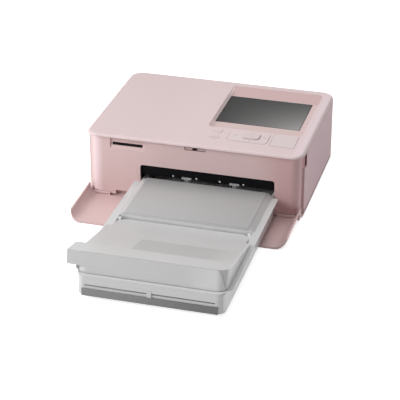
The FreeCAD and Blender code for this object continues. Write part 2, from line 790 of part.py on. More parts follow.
def front_panel():
    """Front face with the paper mouth, the card slot and the latch, wrapped round both corners."""
    made = Piece("front_panel")
    left, right = "-half_width + face_depth", "half_width - face_depth"
    made.pad("XY", "panel_base_z", "panel_top_z",
             rounded(left, right, "face_depth", "2 * wrap_depth", "front_corner - face_depth"))
    made.cut("XY", "panel_base_z - overrun", "panel_top_z + overrun",
             rounded(f"{left} + panel_wall", f"{right} - panel_wall", "face_depth + panel_wall",
                     "3 * wrap_depth", "front_corner - face_depth - panel_wall"))
    made.cut("XY", "panel_base_z - overrun", "panel_top_z + overrun",
             rectangle(f"{left} - overrun", f"{right} + overrun", "wrap_depth", "3 * wrap_depth"))
    made.cut("XZ", "-overrun", "wrap_depth",
             rounded("mouth_left_x", "mouth_left_x + mouth_width", "panel_base_z - overrun", "mouth_top_z",
                     "mouth_corner"))
    made.cut("XZ", "-overrun", "wrap_depth / 2",
             rectangle("mouth_left_x - arch_width", "tray_centre_x", "panel_base_z - overrun",
                       "panel_base_z + arch_rise"))
    for low, high in (("-flap_knuckle_outer_x", "-flap_knuckle_inner_x"),
                      ("flap_knuckle_inner_x", "flap_knuckle_outer_x")):
        made.cut("XZ", "-overrun", "wrap_depth", rectangle(
            f"{low} - 2 * part_gap - flap_lug", f"{high} + 2 * part_gap + flap_lug", "panel_base_z - overrun",
            "flap_axis_z + flap_barrel_radius + part_gap"))
    made.cut("YZ", "card_centre_x - card_relief_width / 2", "card_centre_x + card_relief_width / 2", polygon(
        ("0", "card_slot_z - card_relief_drop"), ("face_depth", "card_slot_z - card_relief_drop"),
        ("face_depth + card_relief_depth", "card_slot_z - card_slot_height / 2"),
        ("face_depth + card_relief_depth", "panel_top_z - part_gap"), ("0", "panel_top_z - part_gap")))
    made.cut("XZ", "-overrun", "wrap_depth",
             rectangle("card_centre_x - card_slot_width / 2", "card_centre_x + card_slot_width / 2",
                       "card_slot_z - card_slot_height / 2", "card_slot_z + card_slot_height / 2"))
    made.cut("XZ", "-overrun", "face_depth + latch_recess",
             rounded("latch_centre_x - latch_width / 2", "latch_centre_x + latch_width / 2",
                     "latch_z - latch_height / 2", "latch_z + latch_height / 2", "latch_height / 2 - running_gap"))
    made.cut("XZ", "-overrun", "wrap_depth",
             rectangle("latch_centre_x - latch_hole_width / 2", "latch_centre_x + latch_hole_width / 2",
                       "latch_z - latch_hole_height / 2", "latch_z + latch_hole_height / 2"))
    return made


def rear_panel():
    """Panel in the rear wall with the paper's rear slot, the vents and the inlet hole."""
    made = Piece("rear_panel")
    made.pad("XZ", "body_depth - shell_wall", "body_depth",
             rectangle("window_left_x + part_gap", "window_right_x - part_gap", "window_low_z + part_gap",
                       "window_top_z - part_gap"))
    made.cut("XZ", "body_depth - shell_wall - overrun", "body_depth + overrun",
             rounded("tray_centre_x - paper_width / 2 - shell_wall", "tray_centre_x + paper_width / 2 + shell_wall",
                     "rear_slot_low_z", "rear_slot_high_z", "key_corner"),
             circle("jack_x", "jack_z", "jack_radius + running_gap"))
    for step in range(COUNTS["vent_count"]):
        left = f"vent_first_x + {step} * vent_pitch"
        made.cut("XZ", "body_depth - shell_wall - overrun", "body_depth + overrun",
                 rounded(left, f"{left} + vent_width", "vent_low_z", "vent_low_z + vent_height", "vent_width / 3"))
    return made


def feet():
    """Four rubber feet, as a group of separate solids."""
    spots = [(x, y) for x in ("-half_width + foot_inset", "half_width - foot_inset")
             for y in ("foot_inset", "body_depth - foot_inset")]
    group("rubber_feet", *[post(f"foot_{index}", x, y, "0", "foot_height", "foot_radius")
                           for index, (x, y) in enumerate(spots)])


# Side door
def side_door():
    """Cover over the ribbon bay, on two pins along its lower edge."""
    made = Piece("side_door")
    inner, outer = "half_width - shell_wall", "half_width"
    made.pad("YZ", inner, outer,
             rectangle("door_front_y", "door_back_y", "door_axis_z", "lip_z - part_gap"))
    made.pad("XZ", "door_front_y", "door_back_y",
             circle("door_axis_x", "door_axis_z", "shell_wall / 2"))
    made.cut("YZ", f"{inner} - overrun", f"{outer} + overrun",
             rectangle("door_front_y - overrun", "door_front_y + door_slit_width",
                       "lip_z - part_gap - door_slit_height", "lip_z + overrun"),
             rectangle("door_front_y - overrun", "door_front_y + door_lug + part_gap",
                       "-overrun", "door_axis_z + shell_wall"),
             rectangle("door_back_y - door_lug - part_gap", "door_back_y + overrun",
                       "-overrun", "door_axis_z + shell_wall"))
    made.cut("XZ", "door_front_y - overrun", "door_back_y + overrun",
             circle("door_axis_x", "door_axis_z", "door_pin_radius + running_gap"))
    for low in ("door_axis_z + door_rib_inset", "lip_z - 2 * door_rib_inset"):
        made.pad("YZ", f"{inner} - door_rib_reach", f"{inner} + shell_wall / 2",
                 rectangle("door_front_y + door_rib_inset", "door_back_y - door_rib_inset", low,
                           f"{low} + door_rib_thick"))
    return made


def door_pins():
    """The two steel pins of the side door."""
    made = []
    for name, front in (("front", "door_front_y"), ("back", "door_back_y - door_pin_length")):
        pin = doc.addObject("Part::Cylinder", f"door_pin_{name}")
        pin.Placement = FreeCAD.Placement(V(0, 0, 0), FreeCAD.Rotation(V(-1, 0, 0), 90))
        bind(pin, "Radius", "door_pin_radius")
        bind(pin, "Height", "door_pin_length")
        bind(pin, "Placement.Base.x", "door_axis_x")
        bind(pin, "Placement.Base.y", front)
        bind(pin, "Placement.Base.z", "door_axis_z")
        made.append(pin)
    group("door_pins", *made)


# Front flap
def front_flap():
    """The front cover, let down: a plate whose sides turn up to wrap the body's corners."""
    made = Piece("front_flap")
    far = "-flap_reach"
    top = "flap_clear + flap_thick"
    high = "flap_clear + 5 * front_corner"
    inner = "flap_half - flap_side_thick"
    made.pad("XZ", far, "flap_back_y", rounded(
        "-flap_half", "flap_half", "flap_clear", "flap_clear + 2 * front_corner + flap_band_rise", "front_corner"))
    made.cut("XZ", f"{far} - overrun", "overrun", rounded(
        f"-({inner})", inner, top, "flap_clear + 4 * front_corner", "front_corner - flap_side_thick"))
    for low, side in (("-flap_half", f"-({inner})"), (inner, "flap_half")):
        made.pad("YZ", low, side, polygon(
            ("-flap_axis_y", "flap_axis_z"), ("0", "flap_axis_z"), ("flap_horn_y", "flap_clear + flap_horn_rise"),
            ("flap_horn_y", "flap_clear + 2 * flap_band_rise"), ("-flap_axis_y", "flap_clear + 2 * flap_band_rise")))
    made.cut("YZ", "-half_width - overrun", "half_width + overrun", polygon(
        ("flap_horn_y + overrun", "flap_clear + flap_band_rise"), ("flap_horn_y", "flap_clear + flap_band_rise"),
        (f"{far} + flap_front_corner", "flap_clear + flap_band_front_rise"),
        (f"{far} - overrun", "flap_clear + flap_band_front_rise"),
        (f"{far} - overrun", high), ("flap_horn_y + overrun", high)))
    for low, side in (("-flap_knuckle_outer_x", "-flap_knuckle_inner_x"),
                      ("flap_knuckle_inner_x", "flap_knuckle_outer_x")):
        made.pad("XY", "flap_clear", top, rectangle(low, side, "-shell_wall", "flap_axis_y"))
        made.pad("YZ", low, side, circle("flap_axis_y", "flap_axis_z", "flap_barrel_radius"))
        made.cut("YZ", f"{low} - part_gap", f"{side} + part_gap",
                 circle("flap_axis_y", "flap_axis_z", "flap_pin_radius + running_gap"))
    lip = "flap_knuckle_inner_x - 2 * part_gap - flap_lug"
    made.pad("XY", "flap_clear", "flap_clear + flap_lip_thick", rectangle(
        f"-({lip})", lip, "flap_back_y - part_gap", "flap_axis_y + flap_barrel_radius"))
    made.cut("XY", f"{top} - flap_bay_recess", f"{top} + part_gap",
             rectangle("tray_centre_x - rim_width / 2 - flap_bay_margin",
                       "tray_centre_x + tray_width / 2 + flap_bay_margin", f"{far} - overrun", "overrun"))
    made.cut("XY", "-overrun", high, rectangle(
        "-half_width - overrun", "half_width + overrun", f"{far} - overrun", "3 * overrun"), rounded(
        "-flap_half", "flap_half", far, "2 * overrun", "flap_front_corner", "key_corner"))
    return made


def flap_pins():
    """The two pins of the flap."""
    inner, outer = "flap_knuckle_inner_x - part_gap - flap_lug", "flap_knuckle_outer_x + part_gap + flap_lug"
    group("flap_pins",
          rod("flap_pin_left", f"-({outer})", f"-({inner})", "flap_axis_y", "flap_axis_z", "flap_pin_radius"),
          rod("flap_pin_right", inner, outer, "flap_axis_y", "flap_axis_z", "flap_pin_radius"))


# Display and boards
def display():
    """Glass flush with the well's floor, and the display module that carries it."""
    Piece("display_glass").pad("XY", "well_floor_z - glass_thick", "well_floor_z", display_outline("0"))
    Piece("display_module").pad("XY", "well_floor_z - glass_thick - module_thick", "well_floor_z - glass_thick",
                                display_outline("0"))
    made = Piece("key_board")
    made.pad("XY", "key_board_z - key_board_thick", "key_board_z",
             rectangle("small_key_x - 2 * small_key_radius", "print_right_x + 2 * shell_wall",
                       "print_front_y - shell_wall", "print_back_y - part_gap"))
    for x in ("small_key_x + 2 * small_key_radius", "print_right_x + key_flange + shell_wall"):
        made.pad("XY", "key_board_z - key_board_thick / 2", "ceiling_z",
                 circle(x, "print_front_y + shell_wall / 2", "shell_wall / 2"))
    domes = []
    for name, x, y in key_centres():
        domes.append(post(f"dome_{name}", x, y, "key_board_z", "dome_z", "dome_share * small_key_radius"))
    group("key_domes", *domes)


def key_centres():
    """Name and middle of each key."""
    return (
        ("print", "(print_left_x + print_right_x) / 2", "(print_front_y + print_back_y) / 2"),
        ("confirm", "(confirm_left_x + confirm_right_x) / 2", "(confirm_front_y + confirm_back_y) / 2"),
        ("arrow", "(pad_left_x + confirm_left_x) / 2", "(pad_front_y + pad_back_y) / 2"),
        ("power", "small_key_x", "power_key_y"),
        ("back", "small_key_x", "back_key_y"),
    )


def card_reader():
    """Case of the card reader behind its slot."""
    made = Piece("card_reader")
    wall = "card_case_wall"
    front = "face_depth + panel_wall"
    made.pad("XZ", front, f"{front} + card_depth + {wall}", rectangle(
        f"card_centre_x - card_slot_width / 2 - {wall}", f"card_centre_x + card_slot_width / 2 + {wall}",
        f"card_slot_z - card_slot_height / 2 - {wall}", f"card_slot_z + card_slot_height / 2 + {wall}"))
    made.cut("XZ", f"{front} - overrun", f"{front} + card_depth", rectangle(
        "card_centre_x - card_slot_width / 2", "card_centre_x + card_slot_width / 2",
        "card_slot_z - card_slot_height / 2", "card_slot_z + card_slot_height / 2"))
    return made


def electronics():
    """Main board with its chips, the power inlet and the latch tongue."""
    made = Piece("main_board")
    made.pad("XY", "board_z", "board_z + board_thick",
             rectangle("board_left_x", "board_right_x", "board_front_y", "board_back_y"))
    top = "board_z + board_thick"
    middle_x, middle_y = "(board_left_x + board_right_x) / 2", "(board_front_y + board_back_y) / 2"
    made.pad("XY", f"{top} - board_thick / 2", f"{top} + chip_height", rectangle(
        f"{middle_x} - chip_width / 2", f"{middle_x} + chip_width / 2",
        f"{middle_y} - chip_width / 2", f"{middle_y} + chip_width / 2"))
    for x in ("board_left_x + 2 * capacitor_radius", "board_right_x - 2 * capacitor_radius"):
        made.pad("XY", f"{top} - board_thick / 2", f"{top} + capacitor_height",
                 circle(x, "board_front_y + 3 * capacitor_radius", "capacitor_radius"))
    made = Piece("power_inlet")
    made.pad("XZ", "body_depth - jack_length", "body_depth", circle("jack_x", "jack_z", "jack_radius"))
    made.cut("XZ", "body_depth - jack_length + shell_wall", "body_depth + overrun",
             circle("jack_x", "jack_z", "jack_bore_radius"))
    made.pad("XZ", "body_depth - jack_length + shell_wall / 2", "body_depth - shell_wall / 2",
             circle("jack_x", "jack_z", "jack_pin_radius"))
    made.pad("XY", f"{top}", "jack_z - jack_radius / 2", rectangle(
        "jack_x - jack_radius / 2", "jack_x + jack_radius / 2", "body_depth - jack_length",
        "board_back_y"))
    made = Piece("latch_tongue")
    made.pad("XZ", "face_depth + latch_recess", "face_depth + panel_wall + latch_travel + shell_wall", rectangle(
        "latch_centre_x - latch_hole_width / 2 + running_gap", "latch_centre_x + latch_hole_width / 2 - running_gap",
        "latch_z - latch_hole_height / 2 + running_gap", "latch_z + latch_hole_height / 2 - running_gap"))
    return made


# Frames, guides and rollers
def frames():
    """Two steel side frames with foot flanges and the holes for the shafts."""
    for label, near, far, foot in (
            ("left_frame", "frame_left_x - frame_thick", "frame_left_x", "frame_left_x - frame_flange"),
            ("right_frame", "frame_right_x", "frame_right_x + frame_thick", "frame_right_x + frame_flange")):
        made = Piece(label)
        made.pad("YZ", near, far, polygon(
            ("frame_front_y", "floor_z"), ("frame_back_y", "floor_z"), ("frame_back_y", "frame_top_z - overrun"),
            ("frame_back_y - overrun", "frame_top_z"), ("lower_guide_front_y", "frame_top_z"),
            ("frame_front_y", "mouth_top_z")))
        low, high = (foot, far) if label == "left_frame" else (near, foot)
        made.pad("XY", "floor_z", "floor_z + frame_thick",
                 rectangle(low, high, "frame_front_y + overrun", "frame_back_y - overrun"))
        made.cut("YZ", f"{near} - part_gap", f"{far} + part_gap",
                 *[circle(y, z, "bush_radius") for _, y, z in shafts()],
                 circle("arm_axis_y", "arm_axis_z", "arm_pin_radius + running_gap"))
        if label == "right_frame":
            bay_low, bay_top = "head_low_z - 2 * bay_gap", "spool_z + ribbon_case_radius + bay_gap"
            notch, bevel = "spool_z + bay_notch", "bay_bevel_share * ribbon_case_radius"
            reach_out = "ribbon_case_radius + bay_gap"
            made.cut("YZ", f"{near} - part_gap", f"{far} + part_gap", polygon(
                (f"takeup_y - ({reach_out})", bay_low), (f"supply_y + ({reach_out})", bay_low),
                (f"supply_y + ({reach_out})", bay_top), (f"supply_y - {bevel}", bay_top),
                (f"supply_y - ({reach_out})", notch), (f"takeup_y + ({reach_out})", notch),
                (f"takeup_y + {bevel}", bay_top), (f"takeup_y - ({reach_out})", bay_top)))


def shafts():
    """Name and place of each shaft that runs in bushes."""
    return (
        ("pick", "pick_y", "pick_z"),
        ("capstan", "capstan_y", "capstan_z"),
        ("pinch", "capstan_y", "pinch_z"),
        ("platen", "platen_y", "platen_z"),
    )


def bushes():
    """Plain bushes in both frames."""
    made = []
    for name, y, z in shafts():
        for side, low, high, flange in (
                ("left", "frame_left_x - frame_thick", "frame_left_x + bush_flange", "frame_left_x"),
                ("right", "frame_right_x - bush_flange", "frame_right_x + frame_thick", "frame_right_x - bush_flange")):
            outer = rod(f"bush_{name}_{side}_outer", low, high, y, z, "bush_radius")
            rim = rod(f"bush_{name}_{side}_rim", flange, f"{flange} + bush_flange", y, z, "bush_flange_radius")
            bore = rod(f"bush_{name}_{side}_bore", f"{low} - overrun", f"{high} + overrun", y, z,
                       "shaft_radius + running_gap")
            whole = doc.addObject("Part::MultiFuse", f"bush_{name}_{side}_whole")
            whole.Shapes = [outer, rim]
            bored = doc.addObject("Part::Cut", f"bush_{name}_{side}")
            bored.Base = whole
            bored.Tool = bore
            made.append(bored)
    group("shaft_bushes", *made)


def guides():
    """Front guide plate with its fingers and rivets, and the lower paper guide."""
    made = Piece("front_guide")
    inner_left, inner_right = "frame_left_x", "frame_right_x"
    made.pad("XZ", "guide_y", "guide_y + guide_thick",
             rectangle(inner_left, inner_right, "guide_low_z", "guide_top_z"))
    fingers = []
    for name, x in (("left", "finger_first_x"), ("right", "finger_second_x")):
        finger = finger_piece(name, x)
        fingers.append(finger)
    group("paper_fingers", *fingers)
    rivets = []
    for step in range(COUNTS["rivet_count"]):
        rivet = doc.addObject("Part::Cylinder", f"rivet_{step}")
        rivet.Placement = FreeCAD.Placement(V(0, 0, 0), FreeCAD.Rotation(V(-1, 0, 0), 90))
        bind(rivet, "Radius", "rivet_radius")
        bind(rivet, "Height", "rivet_stand")
        bind(rivet, "Placement.Base.x", f"rivet_first_x + {step} * rivet_pitch")
        bind(rivet, "Placement.Base.y", "guide_y - rivet_stand")
        bind(rivet, "Placement.Base.z", "guide_low_z + 2 * rivet_radius")
        rivets.append(rivet)
    group("guide_rivets", *rivets)
    lower = Piece("lower_guide")
    lower.pad("XY", "lower_guide_z", "lower_guide_z + lower_guide_thick",
              rectangle(inner_left, inner_right, "lower_guide_front_y", "lower_guide_back_y"))


def finger_piece(name, x):
    """One T-shaped finger in front of the guide plate."""
    front = "guide_y - finger_thick"
    top = "guide_low_z + finger_bar_height"
    bar = block(f"finger_bar_{name}", (f"{x} - finger_bar_width / 2", f"{x} + finger_bar_width / 2"),
                (front, "guide_y"), ("guide_low_z", top))
    stem = block(f"finger_stem_{name}", (f"{x} - finger_stem_width / 2", f"{x} + finger_stem_width / 2"),
                 (front, "guide_y"), ("guide_low_z - finger_drop", top))
    whole = doc.addObject("Part::MultiFuse", f"finger_{name}")
    whole.Shapes = [bar, stem]
    return whole


def rollers():
    """Pick-up, capstan, pinch and platen rollers, each turned with its shaft."""
    left_end = "gear_left_x - gear_side_gap / 2"
    right_end = "frame_right_x + frame_thick + gear_side_gap"
    middle = "tray_centre_x"
    inner = "pick_tyre_offset - pick_tyre_length / 2"
    outer = "pick_tyre_offset + pick_tyre_length / 2"
    Piece("pick_roller").turn(
        "pick_y", "pick_z",
        (left_end, f"{middle} - ({outer})", "shaft_radius"),
        (f"{middle} - ({outer})", f"{middle} - ({inner})", "pick_radius"),
        (f"{middle} - ({inner})", f"{middle} + {inner}", "pick_core_radius"),
        (f"{middle} + {inner}", f"{middle} + {outer}", "pick_radius"),
        (f"{middle} + {outer}", right_end, "shaft_radius"))
    for label, y, z, radius in (
            ("capstan_roller", "capstan_y", "capstan_z", "capstan_radius"),
            ("platen_roller", "platen_y", "platen_z", "platen_radius")):
        Piece(label).turn(
            y, z,
            (left_end, f"{middle} - roller_half", "shaft_radius"),
            (f"{middle} - roller_half", f"{middle} + roller_half", radius),
            (f"{middle} + roller_half", right_end, "shaft_radius"))
    Piece("pinch_roller").turn(
        "capstan_y", "pinch_z",
        ("frame_left_x - frame_thick - gear_side_gap / 2", f"{middle} - roller_half", "shaft_radius"),
        (f"{middle} - roller_half", f"{middle} + roller_half", "pinch_radius"),
        (f"{middle} + roller_half", right_end, "shaft_radius"))


def gear(label, y, z, teeth, bore, phase):
    """A spur gear across the gear bay: a blank with one gap cut and repeated round it."""
    made = Piece(label, place=False)
    pitch = f"gear_module * {teeth} / 2"
    made.pad("YZ", "gear_left_x", "gear_right_x",
             circle("0", "0", f"{pitch} + gear_module * tooth_tip_share"), circle("0", "0", bore))
    root = f"{pitch} - gear_module * tooth_root_share"
    tip = f"{pitch} + gear_module * (tooth_tip_share + 1)"
    half = "gear_module * pi / 4 + gear_play / 2"
    narrow, wide = f"gap_root_share * ({half})", f"gap_tip_share * ({half})"
    gap = polygon((root, f"-{narrow}"), (tip, f"-{wide}"), (tip, wide), (root, narrow))
    made.cut("YZ", "gear_left_x - part_gap", "gear_right_x + part_gap", gap)
    doc.recompute()
    pattern = made.body.newObject("PartDesign::PolarPattern", f"{label}_teeth")
    pattern.Originals = [made.body.Tip]
    pattern.Axis = (made.body.Origin.OriginFeatures[0], "")
    pattern.Angle = 360
    bind(pattern, "Occurrences", teeth)
    made.body.Tip = pattern
    made.body.Placement = FreeCAD.Placement(V(0, 0, 0), FreeCAD.Rotation(V(1, 0, 0), phase))
    bind(made.body, "Placement.Base.y", f"front_y + {y}")
    bind(made.body, "Placement.Base.z", z)
    return made


def gears():
    """The gear train outside the left frame, with each gear turned so that its teeth mesh."""
    places = {
        "idler_gear": ("idler_y", "idler_z", "idler_teeth", "shaft_radius + running_gap"),
        "capstan_gear": ("capstan_y", "capstan_z", "capstan_teeth", "shaft_radius"),
        "platen_gear": ("platen_y", "platen_z", "platen_teeth", "shaft_radius"),
        "motor_pinion": ("motor_y", "motor_z", "motor_teeth", "shaft_radius / 2"),
        "pick_gear": ("pick_y", "pick_z", "pick_teeth", "shaft_radius"),
    }
    phases = {"idler_gear": 0.0}
    for parent, child in (("idler_gear", "capstan_gear"), ("idler_gear", "platen_gear"),
                          ("platen_gear", "motor_pinion"), ("capstan_gear", "pick_gear")):
        y0, z0, count0, _ = places[parent]
        y1, z1, count1, _ = places[child]
        line = math.degrees(math.atan2(value(z1) - value(z0), value(y1) - value(y0)))
        step0, step1 = 360 / value(count0), 360 / value(count1)
        part = (line - phases[parent]) / step0
        phases[child] = line + 180 - step1 * (0.5 - part)
    for label, (y, z, teeth, bore) in places.items():
        gear(label, y, z, teeth, bore, phases[label])
    group("idler_stud", rod("idler_stud_rod", "gear_left_x - gear_side_gap / 2", "frame_left_x - frame_thick",
                            "idler_y", "idler_z", "shaft_radius"))


def motor():
    """Feed motor with its boss, on a bracket that stands on the floor."""
    made = Piece("feed_motor")
    made.pad("YZ", "motor_right_x - motor_length", "motor_right_x", circle("motor_y", "motor_z", "motor_radius"))
    made.pad("YZ", "motor_right_x - shell_wall", "motor_right_x + motor_bracket_thick + motor_boss_length",
             circle("motor_y", "motor_z", "motor_boss_radius"))
    Piece("motor_shaft").turn(
        "motor_y", "motor_z",
        ("motor_right_x + motor_bracket_thick + motor_boss_length", "gear_right_x", "shaft_radius / 2"))
    bracket = Piece("motor_bracket")
    bracket.pad("YZ", "motor_right_x", "motor_right_x + motor_bracket_thick", rectangle(
        "motor_y - motor_radius", "motor_y + motor_radius", "floor_z", "motor_z + motor_radius"))
    bracket.pad("XY", "floor_z", "floor_z + motor_bracket_thick", rectangle(
        "motor_right_x - motor_radius", "motor_right_x + motor_bracket_thick",
        "motor_y - motor_radius", "motor_y - motor_radius / 2"))
    bracket.cut("YZ", "motor_right_x - part_gap", "motor_right_x + motor_bracket_thick + part_gap",
                circle("motor_y", "motor_z", "motor_boss_radius + running_gap"))


def head():
    """Print head: heater strip, finned heat sink and the arm that carries both."""
    middle = "tray_centre_x"
    sink_low = "head_low_z + head_thick"
    Piece("thermal_head").pad("XY", "head_low_z", sink_low, rectangle(
        f"{middle} - head_half", f"{middle} + head_half", "platen_y - head_depth / 2", "platen_y + head_depth / 2"))
    made = Piece("heat_sink")
    made.pad("XY", sink_low, "arm_plate_z", rectangle(
        f"{middle} - head_half", f"{middle} + head_half", "platen_y - sink_depth / 2", "platen_y + sink_depth / 2"))
    for side in ("-", "+"):
        for step in range(COUNTS["fin_count"] // 2):
            low = f"{sink_low} + sink_fin_gap * (2 * {step} + 1)"
            near, far = f"platen_y {side} sink_depth / 6", f"platen_y {side} (sink_depth / 2 + overrun)"
            first, last = (far, near) if side == "-" else (near, far)
            made.cut("XZ", first, last, rectangle(
                f"{middle} - head_half - overrun", f"{middle} + head_half + overrun", low,
                f"{low} + sink_fin_gap / 2"))
    arm = Piece("head_arm")
    arm.pad("XY", "arm_plate_z", "arm_plate_z + arm_plate_thick", rectangle(
        f"{middle} - arm_half", f"{middle} + arm_half", "platen_y - arm_front_reach", "arm_axis_y"))
    for low, high in ((f"{middle} - arm_half", f"{middle} - arm_half + arm_thick"),
                      (f"{middle} + arm_half - arm_thick", f"{middle} + arm_half")):
        arm.pad("YZ", low, high, circle("arm_axis_y", "arm_axis_z", "arm_eye_radius"))
    arm.cut("YZ", f"{middle} - arm_half - overrun", f"{middle} + arm_half + overrun",
            circle("arm_axis_y", "arm_axis_z", "arm_pin_radius + running_gap"))
    group("arm_pins",
          rod("arm_pin_left", "frame_left_x - frame_thick", f"{middle} - arm_half + arm_thick",
              "arm_axis_y", "arm_axis_z", "arm_pin_radius"),
          rod("arm_pin_right", f"{middle} + arm_half - arm_thick", "frame_right_x + frame_thick",
              "arm_axis_y", "arm_axis_z", "arm_pin_radius"))


def ribbon():
    """Ribbon cartridge: two round housings on end plates, two spools and the ribbon between."""
    middle = "tray_centre_x"
    made = Piece("ribbon_case")
    left, right = f"{middle} - ribbon_case_half", f"{middle} + ribbon_case_half"
    made.pad("YZ", left, right, circle("takeup_y", "spool_z", "ribbon_case_radius"),
             circle("supply_y", "spool_z", "ribbon_case_radius"))
    for low, high in ((left, f"{left} + ribbon_end_thick"), (f"{right} - ribbon_end_thick", right)):
        made.pad("YZ", low, high, rectangle("takeup_y", "supply_y", "spool_z - spool_hub_radius",
                                            "spool_z + spool_hub_radius"))
    for y, side in (("takeup_y", "+"), ("supply_y", "-")):
        made.cut("YZ", f"{left} + ribbon_end_thick", f"{right} - ribbon_end_thick",
                 circle(y, "spool_z", "ribbon_case_radius - ribbon_case_wall"))
        made.cut("YZ", f"{left} - overrun", f"{right} + overrun", circle(y, "spool_z", "spool_hub_radius + running_gap"))
        near, far = y, f"{y} {side} ribbon_slit"
        first, last = (near, far) if side == "+" else (far, near)
        made.cut("XY", "spool_z - ribbon_case_radius - overrun", "spool_z", rectangle(
            f"{left} + ribbon_end_thick", f"{right} - ribbon_end_thick", first, last))
    for label, y in (("takeup_spool", "takeup_y"), ("supply_spool", "supply_y")):
        Piece(label).turn(
            y, "spool_z",
            (f"{left} - part_gap", f"{middle} - spool_half - ribbon_end_thick / 2", "spool_hub_radius"),
            (f"{middle} - spool_half - ribbon_end_thick / 2", f"{middle} - spool_half", "spool_core_radius"),
            (f"{middle} - spool_half", f"{middle} + spool_half", "spool_roll_radius"),
            (f"{middle} + spool_half", f"{middle} + spool_half + ribbon_end_thick / 2", "spool_core_radius"),
            (f"{middle} + spool_half + ribbon_end_thick / 2", f"{right} + part_gap", "spool_hub_radius"))
    film = Piece("ribbon_film")
    low = "platen_z + platen_radius + (head_clear - ribbon_thick) / 2"
    start = "spool_z - spool_roll_radius - part_gap"
    film.pad("YZ", f"{middle} - spool_half", f"{middle} + spool_half", polygon(
        ("takeup_y + part_gap", start), ("platen_y - head_depth", low), ("platen_y + head_depth", low),
        ("supply_y - part_gap", start), ("supply_y - part_gap", f"{start} + ribbon_thick"),
        ("platen_y + head_depth", f"{low} + ribbon_thick"), ("platen_y - head_depth", f"{low} + ribbon_thick"),
        ("takeup_y + part_gap", f"{start} + ribbon_thick")))


# Paper cassette
def cassette_base():
    """The cassette's open box: a wide part with a narrow front deck, and a narrower tail inside the printer."""
    made = Piece("cassette_base")
    middle = "tray_centre_x"
    half, tail = "tray_width / 2", "tray_tail_width / 2"
    made.pad("XY", "tray_low_z", "tray_top_z",
             rounded(f"{middle} - {half}", f"{middle} + {half}", "-tray_reach", "-tray_shoulder", "tray_corner",
                     "key_corner"))
    made.pad("XY", "tray_low_z", "tray_top_z",
             rounded(f"{middle} - {tail}", f"{middle} + {tail}", "-tray_shoulder - tray_corner", "tray_tail",
                     "key_corner", "tray_corner"))
    made.pad("XY", "tray_top_z - rim_thick", "tray_top_z",
             rounded(f"{middle} - rim_width / 2", f"{middle} + rim_width / 2", "-tray_reach + rim_front_gap",
                     "-tray_shoulder", "tray_corner", "key_corner"))
    made.cut("XY", "tray_low_z + tray_floor", "tray_top_z + overrun",
             rounded(f"{middle} - {tail} + tray_wall", f"{middle} + {tail} - tray_wall", "-tray_reach + tray_wall",
                     "tray_tail - tray_wall", "tray_inner_corner"))
    made.pad("XY", "tray_top_z - rim_thick", "tray_top_z", rounded(
        f"{middle} - {tail} + tray_wall - part_gap", f"{middle} + {tail} - tray_wall + part_gap",
        "-tray_reach + tray_wall - part_gap", "-tray_reach + tray_deck", "tray_inner_corner", "key_corner"))
    made.cut("XZ", "tray_tail - tray_wall - part_gap", "tray_tail + part_gap", rectangle(
        f"{middle} - pick_tyre_offset - pick_tyre_length / 2 - shell_wall",
        f"{middle} + pick_tyre_offset + pick_tyre_length / 2 + shell_wall",
        "pick_z - pick_radius - 2 * part_gap", "tray_top_z + overrun"))
    made.cut("XZ", "-tray_reach - overrun", "-tray_reach + groove_depth", rectangle(
        f"{middle} - {half} + groove_margin", f"{middle} + {half} - groove_margin",
        "tray_low_z + groove_rise", "tray_low_z + groove_rise + groove_height"))
    made.cut("YZ", f"{middle} - {half} - overrun", f"{middle} + {half} + overrun",
             circle("lid_axis_y", "lid_axis_z", "lid_pin_radius + running_gap"))
    return made


def cassette_bar():
    """Dark bar across the foot of the cassette's front, with the pull nub above it."""
    made = Piece("cassette_bar")
    half = "tray_width / 2 - bar_margin"
    made.pad("XZ", "-tray_reach - bar_stand", "-tray_reach",
             rectangle(f"tray_centre_x - ({half})", f"tray_centre_x + ({half})", "tray_low_z", "bar_top_z"))
    made = Piece("cassette_nub")
    made.pad("XZ", "-tray_reach - nub_stand", "-tray_reach", rectangle(
        "tray_centre_x - nub_width / 2", "tray_centre_x + nub_width / 2",
        "bar_top_z", "tray_low_z + groove_rise + 2 * groove_height"))
    return made


def cassette_cover():
    """Inner cover over the cassette's rear half, with sloped sides, front and a skirt, where prints come to rest."""
    made = Piece("cassette_cover")
    middle = "tray_centre_x"
    made.pad("XZ", "cover_front_y", "cover_back_y", polygon(
        (f"{middle} - cover_low_half", "tray_top_z"), (f"{middle} + cover_low_half", "tray_top_z"),
        (f"{middle} + cover_top_half", "cover_top_z"), (f"{middle} - cover_top_half", "cover_top_z")))
    made.cut("XZ", "cover_front_y + 2 * cover_thick", "cover_back_y + overrun", polygon(
        (f"{middle} - (cover_low_half - tray_wall)", "tray_top_z - part_gap"),
        (f"{middle} + cover_low_half - tray_wall", "tray_top_z - part_gap"),
        (f"{middle} + cover_top_half - tray_wall", "cover_top_z - cover_thick"),
        (f"{middle} - (cover_top_half - tray_wall)", "cover_top_z - cover_thick")))
    made.cut("YZ", f"{middle} - cover_low_half - overrun", f"{middle} + cover_low_half + overrun", polygon(
        ("cover_front_y - overrun", "tray_top_z + part_gap"), ("cover_front_y", "tray_top_z + part_gap"),
        ("cover_front_y + cover_thick", "cover_top_z"), ("cover_front_y + cover_thick", "cover_top_z + overrun"),
        ("cover_front_y - overrun", "cover_top_z + overrun")))
    half = "tray_tail_width / 2 - tray_wall - part_gap"
    made.pad("XZ", "cover_front_y", "cover_front_y + cover_thick", rectangle(
        f"{middle} - ({half})", f"{middle} + {half}", "tray_top_z - cover_skirt", "tray_top_z + part_gap"))
    return made


